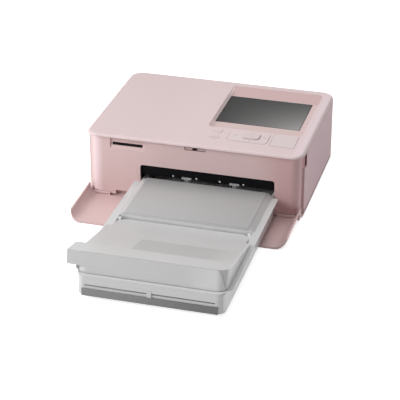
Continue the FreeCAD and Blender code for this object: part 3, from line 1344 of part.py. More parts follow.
def cassette_inside():
    """Lift plate on its pin, the spring below it and the stack of paper."""
    middle = "tray_centre_x"
    floor = "tray_low_z + tray_floor"
    half = "tray_tail_width / 2 - tray_wall - plate_side_gap"
    made = Piece("lift_plate")
    plate_low = f"{floor} + 2 * plate_pin_radius"
    made.pad("XY", plate_low, f"{plate_low} + plate_thick", rectangle(
        f"{middle} - ({half})", f"{middle} + ({half})", "plate_front_y", "tray_tail - tray_wall - plate_side_gap"))
    made.pad("YZ", f"{middle} - ({half})", f"{middle} + ({half})",
             circle("plate_front_y", plate_low, "plate_eye_radius"))
    made.cut("YZ", f"{middle} - ({half}) - overrun", f"{middle} + ({half}) + overrun",
             circle("plate_front_y", plate_low, "plate_pin_radius + running_gap"))
    group("lift_plate_pin", rod("lift_plate_rod", f"{middle} - tray_tail_width / 2 + tray_wall",
                                f"{middle} + tray_tail_width / 2 - tray_wall", "plate_front_y", plate_low,
                                "plate_pin_radius"))
    paper = Piece("paper_stack")
    top = f"{plate_low} + plate_thick"
    back = "tray_tail - tray_wall - 2 * plate_side_gap"
    paper.pad("XY", top, f"{top} + paper_stack", rectangle(
        f"{middle} - paper_width / 2", f"{middle} + paper_width / 2", f"{back} - paper_length", back))


def seat_level(y):
    """Height of the rim below the tilted lid, in the lid's own space, at a place along it."""
    return f"(tray_top_z + lid_seat_gap - lid_axis_z + ({y}) * sin(lid_tilt)) / cos(lid_tilt)"


def cassette_lid():
    """Outer lid, raised on its pins: a wedge-shaped hood with a wide nose that stops the prints."""
    made = Piece("cassette_lid", place=False)
    middle = "tray_centre_x"
    top, low = "lid_top", "lid_top - lid_thick"
    left, right = f"{middle} - lid_width / 2", f"{middle} + lid_width / 2"
    root = "lid_root_width / 2"
    made.pad("XY", "lid_top - lid_skirt", top,
             rounded(left, right, "-lid_length", "-lid_root_length", "lid_corner", "key_corner"))
    made.cut("YZ", f"{left} - overrun", f"{right} + overrun", polygon(
        ("-lid_length - overrun", seat_level("-lid_length - overrun")),
        ("-lid_root_length + overrun", seat_level("-lid_root_length + overrun")),
        ("-lid_root_length + overrun", "-2 * lid_skirt"), ("-lid_length - overrun", "-2 * lid_skirt")))
    made.cut("XY", "-2 * lid_skirt", low,
             rounded(f"{left} + lid_wall", f"{right} - lid_wall", "-lid_length + lid_wall",
                     "-lid_root_length + overrun", "lid_corner - lid_wall", "key_corner"))
    nose = f"{middle} - nose_width / 2"
    made.pad("XY", "lid_top - nose_height", top,
             rectangle(nose, left, "-lid_length", "-lid_length + nose_length"))
    made.pad("XY", low, top, rectangle(nose, f"{left} + lid_corner", "-lid_length", "-lid_length + lid_corner"))
    made.pad("XY", "lid_top - nose_height", top,
             rectangle(nose, f"{left} + lid_corner", "-lid_length", "-lid_length + lid_wall"))
    made.cut("XY", "-2 * lid_skirt", low,
             rectangle(f"{nose} + lid_wall", left, "-lid_length + lid_wall", "-lid_length + nose_length + overrun"))
    made.pad("XY", low, top, rectangle(
        f"{middle} - {root}", f"{middle} + {root}", "-lid_root_length - lid_wall", "lid_tail"))
    for side in ("-", "+"):
        ends = (f"{middle} {side} {root}", f"{middle} {side} ({root} - lid_eye_thick)")
        first, last = ends if side == "-" else ends[::-1]
        made.pad("YZ", first, last, circle("0", "0", "lid_eye_radius"))
        ends = (f"{middle} {side} ({root} + overrun)", f"{middle} {side} ({root} - lid_eye_thick - part_gap)")
        first, last = ends if side == "-" else ends[::-1]
        made.cut("YZ", first, last, circle("0", "0", "lid_pin_radius + running_gap"))
    corner, end = f"{middle} + {root} - lid_eye_thick - lid_notch", f"{middle} + {root} - lid_eye_thick - part_gap"
    made.cut("XY", f"{low} - part_gap", f"{top} + overrun", polygon(
        (corner, "lid_tail + part_gap"), (corner, "lid_tail - lid_notch / 4"), (end, "lid_tail - lid_notch"),
        (end, "lid_tail + part_gap")))
    made.cut("XY", f"{low} - part_gap", f"{low} + label_depth", rectangle(
        f"{middle} - label_left", f"{middle} + label_right", "-label_far", "-label_near"))
    made.tilt("lid_axis_y", "lid_axis_z", "lid_tilt")
    outer = "tray_width / 2"
    inner = "lid_root_width / 2 - lid_eye_thick"
    group("lid_pins",
          rod("lid_pin_left", f"{middle} - {outer}", f"{middle} - ({inner})", "lid_axis_y", "lid_axis_z",
              "lid_pin_radius"),
          rod("lid_pin_right", f"{middle} + {inner}", f"{middle} + {outer}", "lid_axis_y", "lid_axis_z",
              "lid_pin_radius"))


def write_parts():
    """Checks every object and writes one file for each piece."""
    doc.recompute()
    broken = [thing.Name for thing in doc.Objects if {"Invalid", "Error"} & set(thing.State)]
    if broken:
        raise SystemExit(f"these objects failed: {broken}")
    for thing in doc.Objects:
        if thing.TypeId == "PartDesign::Pocket" and thing.BaseFeature is not None:
            if thing.Shape.Volume >= thing.BaseFeature.Shape.Volume - 1e-6:
                raise SystemExit(f"{thing.Name} cuts nothing")
    os.makedirs("parts", exist_ok=True)
    for piece in PIECES:
        if piece.Shape.isNull() or not piece.Shape.isValid() or not piece.Shape.Solids:
            raise SystemExit(f"{piece.Label} has no sound solid")
        solids = len(piece.Shape.Solids)
        print(f"{piece.Label}: {solids} solid(s), {piece.Shape.Volume:.1f} mm3")
        piece.Shape.exportStep(f"parts/{piece.Label}.step")


base_case()
top_cover()
keys()
front_panel()
rear_panel()
feet()
side_door()
door_pins()
front_flap()
flap_pins()
display()
card_reader()
electronics()
frames()
bushes()
guides()
rollers()
gears()
motor()
head()
ribbon()
cassette_base()
cassette_bar()
cassette_cover()
cassette_inside()
cassette_lid()
write_parts()
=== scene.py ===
"""The compact photo printer's looks: finishes, small pieces, floor, light and camera.

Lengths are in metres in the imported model's frame, unless a comment says millimetres.
"""
import json
import math

import bmesh
import bpy
from mathutils import Matrix, Vector


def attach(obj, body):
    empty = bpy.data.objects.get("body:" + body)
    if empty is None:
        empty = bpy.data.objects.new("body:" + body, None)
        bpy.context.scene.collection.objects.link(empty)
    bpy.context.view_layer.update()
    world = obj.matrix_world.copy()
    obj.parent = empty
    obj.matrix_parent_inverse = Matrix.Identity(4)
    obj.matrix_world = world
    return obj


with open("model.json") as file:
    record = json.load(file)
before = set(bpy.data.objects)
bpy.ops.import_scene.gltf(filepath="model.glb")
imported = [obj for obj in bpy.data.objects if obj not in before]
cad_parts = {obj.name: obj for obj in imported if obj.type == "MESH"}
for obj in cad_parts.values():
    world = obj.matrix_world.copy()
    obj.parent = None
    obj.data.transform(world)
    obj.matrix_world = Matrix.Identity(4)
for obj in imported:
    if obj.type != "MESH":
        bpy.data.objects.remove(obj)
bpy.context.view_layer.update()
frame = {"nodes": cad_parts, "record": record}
MM = 0.001
FRONT_Y = 12.5 * MM


def at(x, y, z):
    """A place given in millimetres: right of the body's middle, behind its front, above the desk."""
    return Vector((x * MM, y * MM + FRONT_Y, z * MM))


def span(low, high):
    """Two places along one axis of the frame, given in millimetres."""
    return low * MM, high * MM


# Shader arithmetic
class Value:
    """A socket whose sums, differences, products and quotients add Math nodes."""

    def __init__(self, graph, socket):
        self.graph = graph
        self.socket = socket

    def math(self, operation, first, second=0.0):
        return self.graph.node("ShaderNodeMath", {"operation": operation}, {0: first, 1: second})

    def __add__(self, other):
        return self.math("ADD", self, other)

    def __sub__(self, other):
        return self.math("SUBTRACT", self, other)

    def __rsub__(self, other):
        return self.math("SUBTRACT", other, self)

    def __mul__(self, other):
        return self.math("MULTIPLY", self, other)

    def __truediv__(self, other):
        return self.math("DIVIDE", self, other)

    __radd__ = __add__
    __rmul__ = __mul__

    def cosine(self):
        return self.math("COSINE", self)

    def larger(self, other):
        return self.math("MAXIMUM", self, other)

    def over(self, low, high):
        """Runs smoothly from 0 to 1 while the value runs from low to high."""
        return self.graph.node("ShaderNodeMapRange", {"interpolation_type": "SMOOTHSTEP"},
                               {0: self, 1: low, 2: high, 3: 0.0, 4: 1.0})

    def under(self, low, high):
        """Runs smoothly from 1 to 0 while the value runs from low to high."""
        return 1.0 - self.over(low, high)

    def between(self, low, high, soft):
        """1 between two values and 0 outside them, with edges as soft as the last number."""
        return self.over(low - soft, low + soft) * self.under(high - soft, high + soft)


class Graph:
    """A node tree, whose nodes are all made in one way."""

    def __init__(self, tree):
        self.tree = tree

    def node(self, kind, settings, inputs, output=0):
        """A node of a kind, with its settings first and then the values or links of its sockets."""
        made = self.tree.nodes.new(kind)
        for name, setting in settings.items():
            setattr(made, name, setting)
        for name, given in inputs.items():
            self.set(made.inputs[name], given)
        return Value(self, made.outputs[output])

    def set(self, socket, given):
        if isinstance(given, Value):
            self.tree.links.new(given.socket, socket)
        else:
            socket.default_value = given

    def beside(self, value, output):
        """Another output of the node that a value comes from."""
        return Value(self, value.socket.node.outputs[output])

    def axes(self, place):
        """The x, y and z of a place."""
        x = self.node("ShaderNodeSeparateXYZ", {}, {0: place})
        return x, self.beside(x, 1), self.beside(x, 2)

    def seen(self):
        """1 for what the camera, a mirror or glass sees, and 0 for light that falls on the object."""
        camera = self.node("ShaderNodeLightPath", {}, {}, output="Is Camera Ray")
        mirror = self.beside(camera, "Is Glossy Ray")
        return camera.larger(mirror).larger(self.beside(camera, "Is Transmission Ray"))


class Finish(Graph):
    """A material's nodes around its Principled shader, with places in object coordinates."""

    def __init__(self, name, colour, roughness, **constants):
        self.material = bpy.data.materials.new(name)
        self.material.use_nodes = True
        super().__init__(self.material.node_tree)
        self.shader = self.tree.nodes["Principled BSDF"]
        self.place = self.node("ShaderNodeTexCoord", {}, {}, output="Object")
        self.colour = colour
        self.shader.inputs["Base Color"].default_value = (*colour, 1.0)
        self.shader.inputs["Roughness"].default_value = roughness
        for socket, number in constants.items():
            self.shader.inputs[socket.replace("_", " ")].default_value = number

    def drive(self, name, given):
        """Feeds one of the shader's own sockets."""
        self.set(self.shader.inputs[name], given)

    def stretched(self, scale):
        """The place with each axis scaled, for patterns that run along one axis."""
        return self.node("ShaderNodeMapping", {}, {"Vector": self.place, "Scale": scale})

    def noise(self, scale, detail=2.0, place=None):
        """Even noise from 0 to 1 with so many lumps to the metre."""
        return self.node("ShaderNodeTexNoise", {}, {"Vector": place or self.place, "Scale": scale,
                                                    "Detail": detail})

    def mix(self, factor, *colours):
        """Blends two colours."""
        first, second = (given if isinstance(given, Value) else (*given, 1.0) for given in colours)
        return self.node("ShaderNodeMix", {"data_type": "RGBA"}, {0: factor, 6: first, 7: second}, output=2)

    def shade(self, factor, dark, light):
        """Blends the base colour between two brightnesses of itself."""
        shades = [tuple(min(1.0, part * level) for part in self.colour) for level in (dark, light)]
        return self.mix(factor, *shades)

    def paint(self, base, *zones):
        """Gives the surface a base colour and zones, each a mask and its colour, later ones on top."""
        for mask, colour in zones:
            base = self.mix(mask, base, colour)
        self.drive("Base Color", base)

    def bump(self, height, distance, strength):
        """Raises the surface by a height pattern, up to a distance."""
        self.drive("Normal", self.node("ShaderNodeBump", {}, {"Strength": strength, "Distance": distance,
                                                               "Height": height}))


# Kinds of finish, with their noises in lumps to the metre
COARSE_GRAIN, MOULD_GRAIN, FINE_GRAIN, KEY_GRAIN = 900.0, 2600.0, 3800.0, 4200.0
FLOW_MARKS = 28.0
HAZE, HAZE_GRAIN = 18.0, 1800.0
DRAWN_LINES, SMUDGES = 1400.0, 60.0
DRAWN_ALONG_X = (0.05, 1.0, 1.0)


def clouds(flow, fine):
    """Flow marks with a little of the grain in them."""
    return flow * 0.7 + fine * 0.3


def uneven_gloss(roughness, flow, fine):
    """A roughness that changes a little with the flow marks and the grain."""
    return roughness + (fine - 0.5) * 0.12 + (flow - 0.5) * 0.06


def grained(name, colour, roughness, grain=MOULD_GRAIN, depth=0.02 * MM, **constants):
    """Plastic with a moulded grain and gloss, and with it the two noises that its colour needs."""
    finish = Finish(name, colour, roughness, **constants)
    fine = finish.noise(grain, 3.0)
    flow = finish.noise(FLOW_MARKS)
    finish.drive("Roughness", uneven_gloss(roughness, flow, fine))
    finish.bump(fine, depth, 0.5)
    return finish, flow, fine


def moulded(name, colour, roughness, *grain_and_depth, **constants):
    """Moulded plastic with a fine even grain, faint flow marks and slight changes of gloss."""
    finish, flow, fine = grained(name, colour, roughness, *grain_and_depth, **constants)
    finish.paint(finish.shade(clouds(flow, fine), 0.965, 1.03))
    return finish


def metal(name, colour, roughness):
    """Metal with fine drawn lines."""
    finish = Finish(name, colour, roughness, Metallic=1.0)
    lines = finish.noise(DRAWN_LINES, place=finish.stretched(DRAWN_ALONG_X))
    smudge = finish.noise(SMUDGES)
    finish.paint(finish.shade(smudge, 0.9, 1.05))
    finish.drive("Roughness", roughness + (lines - 0.5) * 0.2 + (smudge - 0.5) * 0.1)
    finish.bump(lines, 0.01 * MM, 0.4)
    return finish


def grey(level):
    return (level, level, level)


def greys(finish, *zones):
    """Gives a piece its own grey and zones of other greys, each a mask and its level, later ones on top."""
    own = finish.shade(finish.noise(HAZE), 0.97, 1.03)
    finish.paint(own, *((mask, grey(level)) for mask, level in zones))
    return finish


def frosted(name, level, roughness, alpha):
    """Translucent grey plastic: hazy inside, with a polished skin. Its greys are still to be painted."""
    finish = Finish(name, grey(level), roughness, Coat_Weight=0.25, Coat_Roughness=0.12)
    haze = finish.noise(HAZE)
    fine = finish.noise(HAZE_GRAIN)
    finish.drive("Roughness", roughness + (fine - 0.5) * 0.08 + (haze - 0.5) * 0.08)
    finish.drive("Alpha", alpha + (haze - 0.5) * 0.06)
    finish.bump(fine, 0.006 * MM, 0.4)
    return finish


# Top: pinks, some of them painted sheen, light and shade, the dots' spacing, and places on the frame's axes
PINK = (0.73, 0.54, 0.535)
# The top's paler, greyer pink is a painted sheen of the light falling on it
TOP_SHEEN_PINK = (0.71, 0.565, 0.57)
DOT_PINK = (0.50, 0.39, 0.40)
# Painted light on the top's right margin, painted shade in the display well and more on its back ramp,
# painted light on the well's shaded left wall
MARGIN_LIGHT_PINK = (0.76, 0.62, 0.65)
WELL_SHADE_PINK = (0.66, 0.50, 0.49)
RAMP_SHADE_PINK = (0.60, 0.42, 0.415)
WELL_WALL_LIGHT_PINK = (0.97, 0.80, 0.79)
DOT_PITCH = 1.15 * MM
ROW_PITCH = 2.1 * MM
DOT_ROUNDING = (0.2, 0.95)
LEFT_DOTS_END_X = span(-52.0, -4.0)
RIGHT_DOTS_X = span(82.8, 83.6)
MARGIN_X = span(79.0, 86.0)
TOP_FACE_Z = span(57.2, 57.5)
WELL_X = span(3.0, 82.2)
WELL_Y = span(51.0, 137.8)
WELL_RIM_Z = span(57.4, 57.6)
RAMP_FOOT_Y = span(120.5, 122.5)
WELL_WALL_X = span(4.5, 4.7)


def top_shell():
    """Pale pink shell, its greyer top a painted sheen: rows of fine raised dots at its top's left and right,
    a right margin painted lighter as light, and a plainer well in painted shade, darker on its back ramp,
    with its shaded left wall painted lighter.
    """
    finish = Finish("pink_top_shell", TOP_SHEEN_PINK, 0.48)
    x, y, z = finish.axes(finish.place)
    fine = finish.noise(MOULD_GRAIN, 3.0)
    flow = finish.noise(FLOW_MARKS)
    grid = (x * (math.pi / DOT_PITCH)).cosine() * (y * (math.pi / ROW_PITCH)).cosine()
    field = x.under(*LEFT_DOTS_END_X) + x.over(*RIGHT_DOTS_X) * 0.4
    dots = grid.over(*DOT_ROUNDING) * field * z.over(*TOP_FACE_Z)
    # Painted light on the right margin, painted shade in the well and on its ramp, painted light on its left
    # wall
    margin = x.over(*MARGIN_X) * z.over(*TOP_FACE_Z)
    well = x.between(*WELL_X, 0.05 * MM) * y.between(*WELL_Y, 0.1 * MM) * z.under(*WELL_RIM_Z)
    ramp = well * y.over(*RAMP_FOOT_Y)
    wall = well * x.under(*WELL_WALL_X)
    finish.paint(finish.shade(clouds(flow, fine), 0.985, 1.04), (dots * 0.8, DOT_PINK), (margin, MARGIN_LIGHT_PINK),
                 (well, WELL_SHADE_PINK), (ramp, RAMP_SHADE_PINK), (wall, WELL_WALL_LIGHT_PINK))
    finish.drive("Roughness", uneven_gloss(0.46, flow, fine) - dots * 0.05)
    finish.bump(fine * 0.3 + dots, 0.04 * MM, 0.5)
    return finish


# Side door: a pink darkened as painted shade, a front edge painted paler as light, and painted shade in its
# slit
SHADED_DOOR_PINK = (0.64, 0.42, 0.46)
DOOR_EDGE_LIGHT_PINK = (0.92, 0.72, 0.75)
SLIT_SHADE_RED = (0.12, 0.018, 0.026)
DOOR_EDGE_Y = span(24.6, 24.7)
SLIT_Y = span(20.0, 29.6)
SLIT_Z = span(43.6, 55.1)
DOOR_SKIN_X = span(90.7, 90.9)


def door_shell():
    """The side door's shell, in a pink darkened as painted shade, with a front edge painted paler where it
    sits in shadow, and dark red on the inner walls of its slit as painted shade.
    """
    finish, flow, _ = grained("shaded_pink_door", SHADED_DOOR_PINK, 0.5)
    x, y, z = finish.axes(finish.place)
    # Painted shade: dark red on the slit's inner walls; painted light: the paler front edge
    slit = y.between(*SLIT_Y, 0.05 * MM) * z.between(*SLIT_Z, 0.1 * MM) * x.under(*DOOR_SKIN_X)
    finish.paint(finish.shade(flow, 0.97, 1.03), (y.under(*DOOR_EDGE_Y), DOOR_EDGE_LIGHT_PINK), (slit, SLIT_SHADE_RED))
    return finish


# Front face: a painted highlight by its left corner, painted shade to the right and painted light on its
# right edge
FACE_HIGHLIGHT_PINK = (0.92, 0.73, 0.745)
FACE_SHADE_PINK = (0.62, 0.385, 0.388)
FACE_EDGE_LIGHT_PINK = (0.80, 0.52, 0.53)
FACE_REAR_Y = span(24.0, 30.0)
HIGHLIGHT_START_X, HIGHLIGHT_END_X = span(-86.4, -83.8), span(-81.5, -76.0)
FACE_SHADE_X = span(45.0, 84.0)
FACE_EDGE_LIGHT_X = span(86.0, 89.0)


def front_face():
    """The front face's shell: a painted highlight beside its left corner, painted shade deepening to the
    right, and a warm right edge painted lighter as light.
    """
    finish, flow, fine = grained("pink_front_face", PINK, 0.48)
    x, y, _ = finish.axes(finish.place)
    front = y.under(*FACE_REAR_Y)
    # Painted highlight beside the left corner, painted shade towards the right, painted light on the right
    # edge
    pale = front * x.over(*HIGHLIGHT_START_X) * x.under(*HIGHLIGHT_END_X)
    finish.paint(finish.shade(clouds(flow, fine), 0.965, 1.03), (pale, FACE_HIGHLIGHT_PINK),
                 (front * x.over(*FACE_SHADE_X), FACE_SHADE_PINK), (front * x.over(*FACE_EDGE_LIGHT_X), FACE_EDGE_LIGHT_PINK))
    return finish


# Paper fingers
FINGER_GREY = (0.30, 0.305, 0.31)
PALE_BAR_GREY = (0.52, 0.52, 0.53)
FINGER_BAR_Z = span(23.0, 23.3)


def paper_finger():
    """Grey fingers whose upper bars are paler."""
    finish, _, _ = grained("paper_finger", FINGER_GREY, 0.4)
    _, _, z = finish.axes(finish.place)
    finish.paint(finish.shade(finish.noise(200.0), 0.9, 1.1), (z.over(*FINGER_BAR_Z), PALE_BAR_GREY))
    return finish


# Display, with a painted reflection on its glass
GLASS_DARK = (0.004, 0.005, 0.004)
GLASS_PAINTED_REFLECTION = (0.35, 0.34, 0.335)
GLASS_EDGE = (0.02, 0.02, 0.02)
GLASS_LEFT, GLASS_WIDTH = 4.8 * MM, 71.6 * MM
GLASS_BACK, GLASS_DEPTH = 121.1 * MM, 53.5 * MM
SHEEN_ACROSS, SHEEN_FORWARD, SHEEN_CORNER, SHEEN_SMEAR = 0.26, 0.10, 0.62, 0.03
PICTURE_X = span(5.6, 75.6)
PICTURE_Y = span(68.3, 120.3)


def display():
    """Display behind glass: dark, with a painted reflection, a soft grey sheen that grows towards its front
    right corner.
    """
    finish = Finish("display_glass", (0.16, 0.16, 0.158), 0.22, Specular_IOR_Level=0.12)
    x, y, _ = finish.axes(finish.place)
    across = (x - GLASS_LEFT) / GLASS_WIDTH
    forward = (GLASS_BACK - y) / GLASS_DEPTH
    smear = finish.noise(45.0)
    # Painted reflection that grows towards the front right corner
    sheen = across * SHEEN_ACROSS + forward * SHEEN_FORWARD + across * forward * SHEEN_CORNER
    sheen = sheen + (smear - 0.5) * SHEEN_SMEAR
    sheen = sheen * (0.45 + sheen * 0.55)
    picture = x.between(*PICTURE_X, 0.2 * MM) * y.between(*PICTURE_Y, 0.2 * MM)
    finish.paint(finish.mix(sheen, GLASS_DARK, GLASS_PAINTED_REFLECTION), ((1.0 - picture) * 0.55, GLASS_EDGE))
    finish.drive("Roughness", 0.2 + smear * 0.08)
    return finish


# Paper cassette
TRAY_RIM_X, TRAY_WALL_X = span(66.0, 66.4), span(67.2, 67.6)
TRAY_RIM_Z = span(18.0, 18.4)
COVER_X = span(-38.5, 63.0)
COVER_SHADE_X, COVER_SHADE_Y = span(-35.0, 75.0), span(-30.0, 16.0)
COVER_SKIRT_Y = span(-48.95, -48.8)
LID_INNER_X = span(-44.0, -40.0)
LID_SIDE_X = span(68.4, 68.9)
LID_FACE_Y = span(-138.4, -137.8)
LID_FACE_PALER_X = span(30.0, 66.0)
LID_CREASE_Y = span(-138.2, -137.5)
LID_STRIP_Y = span(-119.8, -118.8)
BAND_LEFT_X, BAND_RIGHT_X = span(-9.6, -8.4), span(45.0, 69.0)
BAND_Y, BAND_Z = span(-119.0, -93.5), span(23.5, 24.0)
BAR_SHADE_X = span(-40.0, 85.0)
SHEET_STEP = 0.5 * MM


def frosted_tray():
    """Frosted grey tray, with its right wall painted paler as light where the rim shades it, under a right
    rim painted darker as shade.
    """
    finish = frosted("frosted_tray", 0.685, 0.34, 0.92)
    x, _, z = finish.axes(finish.place)
    # Painted shade on the right rim, painted light on the right wall under it
    return greys(finish, (x.over(*TRAY_RIM_X) * z.over(*TRAY_RIM_Z), 0.62),
                 (x.over(*TRAY_WALL_X) * z.under(*TRAY_RIM_Z), 0.92))


def frosted_cover():
    """Frosted grey cover, darker towards the mouth and the right as painted shade, with a front skirt painted
    pale as light, and paler sides.
    """
    finish = frosted("frosted_cover", 0.51, 0.36, 0.94)
    x, y, _ = finish.axes(finish.place)
    # Painted shade towards the mouth and the right; painted light on the front skirt
    return greys(finish, (x.over(*COVER_SHADE_X), 0.43), (y.over(*COVER_SHADE_Y), 0.42),
                 (1.0 - x.between(*COVER_X, 0.6 * MM), 0.56), (y.under(*COVER_SKIRT_Y), 0.73))


def frosted_lid():
    """Frosted grey lid: a thin darker band across it, a paler strip in front, and a crease at its edge drawn
    as a line of painted shade.
    """
    finish = frosted("frosted_lid", 0.64, 0.34, 0.93)
    x, y, z = finish.axes(finish.place)
    inner = x.over(*LID_INNER_X)
    face = y.under(*LID_FACE_Y)
    across = x.over(*BAND_LEFT_X) * x.under(*BAND_RIGHT_X)
    band = across * y.between(*BAND_Y, 0.6 * MM) * z.over(*BAND_Z)
    # Painted shade along the crease at the lid's edge
    crease = inner * y.between(*LID_CREASE_Y, 0.2 * MM)
    return greys(finish, (inner * y.under(*LID_STRIP_Y), 0.66), (band, 0.535), (face, 0.63),
                 (face * x.over(*LID_FACE_PALER_X), 0.76), (x.over(*LID_SIDE_X), 0.84), (crease, 0.53))


def bar_grey():
    """Dark grey bar along the tray's front, painted darker towards its right end as shade."""
    finish, _, _ = grained("dark_bar", grey(0.25), 0.42, FINE_GRAIN, 0.004 * MM)
    x, _, _ = finish.axes(finish.place)
    # Painted shade towards the bar's right end
    return greys(finish, (x.over(*BAR_SHADE_X), 0.145))


def coated_sheets():
    """Coated paper, with the stack's sheets showing as fine lines along its edges."""
    finish, _, _ = grained("coated_paper", (0.86, 0.86, 0.85), 0.45, FINE_GRAIN, 0.004 * MM)
    _, _, z = finish.axes(finish.place)
    lines = (z * (2.0 * math.pi / SHEET_STEP)).cosine().over(0.4, 1.0)
    finish.paint(finish.shade(1.0 - lines, 0.88, 1.0))
    return finish


# Finishes: colour, roughness, and where it isn't a shell's, the grain and its depth
panel_finish = front_face()
tray_finish = frosted_tray()
dark_bar = bar_grey()
key_mark = moulded("key_mark", (0.50, 0.35, 0.35), 0.5, KEY_GRAIN, 0.004 * MM)
# Dark red standing in for the shade inside the side door's slit
slit_shade_red = moulded("slit_shade_red", SLIT_SHADE_RED, 0.5)
# Dark brown standing in for the shade in the gap round the latch
latch_shade_brown = moulded("latch_shade_brown", (0.17, 0.095, 0.095), 0.55)
# Darker pink standing in for the shade in the seams by the door and under the front face
seam_shade_pink = moulded("seam_shade_pink", (0.55, 0.37, 0.38), 0.55)
black = moulded("black_plastic", (0.004, 0.004, 0.005), 0.6, Specular_IOR_Level=0.12)
rubber = moulded("dark_rubber", (0.02, 0.02, 0.021), 0.78, 1800.0, 0.04 * MM)
steel = metal("plated_steel", (0.62, 0.63, 0.65), 0.34)

SLOTS = {
    "body_pink": moulded("pink_shell", PINK, 0.48),
    "panel_pink": panel_finish,
    "key_pink": moulded("pink_keys", (0.71, 0.59, 0.595), 0.46, KEY_GRAIN, 0.006 * MM),
    "key_bright": moulded("bright_key", (0.69, 0.56, 0.56), 0.38, KEY_GRAIN, 0.004 * MM),
    "foot_rubber": rubber,
    "display_glass": display(),
    "black_plastic": black,
    "grey_plastic": moulded("grey_plastic", (0.30, 0.31, 0.33), 0.42),
    "board_green": moulded("board_lacquer", (0.02, 0.11, 0.055), 0.3, COARSE_GRAIN),
    "pin_steel": metal("ground_steel", (0.66, 0.66, 0.68), 0.22),
    "frame_steel": steel,
    "roller_rubber": rubber,
    "gear_white": moulded("white_gear_plastic", (0.74, 0.74, 0.70), 0.4),
    "motor_steel": steel,
    "sink_aluminium": metal("sink_aluminium", (0.70, 0.71, 0.73), 0.4),
    "head_ceramic": moulded("head_ceramic", (0.10, 0.095, 0.085), 0.28, 3200.0, 0.004 * MM),
    "ribbon_grey": moulded("cartridge_plastic", (0.12, 0.125, 0.135), 0.4),
    "ribbon_film": moulded("ribbon_film", (0.04, 0.015, 0.03), 0.2, 600.0),
    "cassette_smoke": tray_finish,
    "cassette_dark": dark_bar,
    "paper_white": coated_sheets(),
}
OWN_FINISH = {
    "top_cover": top_shell(),
    # The flap's pink is darker than the body's as painted shade, against the stronger light on its flat face
    "front_flap": moulded("shaded_pink_flap", (0.65, 0.468, 0.463), 0.5),
    "side_door": door_shell(),
    "paper_fingers": paper_finger(),
    "guide_rivets": moulded("bright_rivet", (0.86, 0.87, 0.88), 0.25, KEY_GRAIN, 0.002 * MM),
    "cassette_lid": frosted_lid(),
    "cassette_cover": frosted_cover(),
    "cassette_nub": tray_finish,
}

# Each carried-over node gets its own finish, or else its slot's
for part in frame["record"]["subparts"]:
    slots = frame["nodes"][part["node"]].data.materials
    slots.clear()
    slots.append(OWN_FINISH.get(part["node"], SLOTS[part["material_slot"]]).material)


# Small pieces, with their sizes and places in millimetres
def finished(shape, name, finish, body="printer_body"):
    """Turns a shape into a piece that moves with a body."""
    bmesh.ops.recalc_face_normals(shape, faces=shape.faces)
    mesh = bpy.data.meshes.new(name)
    shape.to_mesh(mesh)
    shape.free()
    mesh.materials.append(finish.material)
    piece = bpy.data.objects.new(name, mesh)
    bpy.context.scene.collection.objects.link(piece)
    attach(piece, body)


def raise_faces(shape, faces, height):
    """Pulls faces out into a solid of a height."""
    made = bmesh.ops.extrude_face_region(shape, geom=faces)["geom"]
    moved = [part for part in made if isinstance(part, bmesh.types.BMVert)]
    bmesh.ops.translate(shape, vec=(0.0, 0.0, height * MM), verts=moved)


def softened_bar(shape, low, high, softness):
    """Adds a bar with rounded edges between two corners."""
    low, high = at(*low), at(*high)
    verts = bmesh.ops.create_cube(shape, size=1.0)["verts"]
    bmesh.ops.scale(shape, vec=high - low, verts=verts)
    bmesh.ops.translate(shape, vec=(low + high) / 2, verts=verts)
    edges = list({edge for vert in verts for edge in vert.link_edges})
    bmesh.ops.bevel(shape, geom=edges, offset=softness * MM, offset_type="OFFSET", affect="EDGES", segments=2,
                    profile=0.5, material=-1)


def bars(name, finish, slot, softness, *corners, body="printer_body"):
    """A piece of bars with rounded edges, each given by its lowest and highest corner."""
    shape = bmesh.new()
    for low, high in corners:
        softened_bar(shape, low, high, softness)
    finished(shape, name, finish, body)


def ring(shape, radius, width, height, stretch=0.0):
    """Adds an upright ring on the origin, drawn out sideways on both sides by a length."""
    bmesh.ops.create_circle(shape, cap_ends=True, segments=36, radius=radius * MM)
    for side in (-1.0, 1.0):
        half = [vert for vert in shape.verts if vert.co.x * side > 0.0]
        bmesh.ops.translate(shape, vec=(side * stretch * MM, 0.0, 0.0), verts=half)
    bmesh.ops.inset_region(shape, faces=shape.faces[:], thickness=width * MM, use_boundary=True,
                           use_even_offset=True)
    middle = max(shape.faces, key=lambda face: len(face.verts))
    bmesh.ops.delete(shape, geom=[middle], context="FACES_ONLY")
    raise_faces(shape, shape.faces[:], height)


LATCH_MIDDLE = (1.8, 2.79, 52.6)
LATCH_RADIUS, LATCH_STRETCH = 1.38, 7.6
LATCH_LINE, LATCH_LINE_HEIGHT = 0.5, 0.3


def latch_shade_rim():
    """Thin dark ring round the flap's latch, standing in for the shade in the gap around it."""
    shape = bmesh.new()
    ring(shape, LATCH_RADIUS, LATCH_LINE, LATCH_LINE_HEIGHT, LATCH_STRETCH)
    bmesh.ops.rotate(shape, matrix=Matrix.Rotation(math.radians(90.0), 3, "X"), verts=shape.verts)
    bmesh.ops.translate(shape, vec=at(*LATCH_MIDDLE), verts=shape.verts)
    finished(shape, "latch_shade_rim", latch_shade_brown)


KEY_TOP = 57.75
MARK_SUNK, MARK_HEIGHT = 0.01, 0.06
ARROWHEADS = ((0.0, 42.4, 34.9), (90.0, 29.6, 27.8), (180.0, 42.4, 19.3), (270.0, 53.6, 27.8))
ARROW_RADIUS, ARROW_TOP_RADIUS = 1.1, 1.0
POWER_MIDDLE = (13.5, 20.5)
POWER_RADIUS, POWER_LINE, POWER_HEIGHT = 1.3, 0.32, 0.05
STROKE_X, STROKE_Y = (12.2, 14.8), (31.8, 32.2)


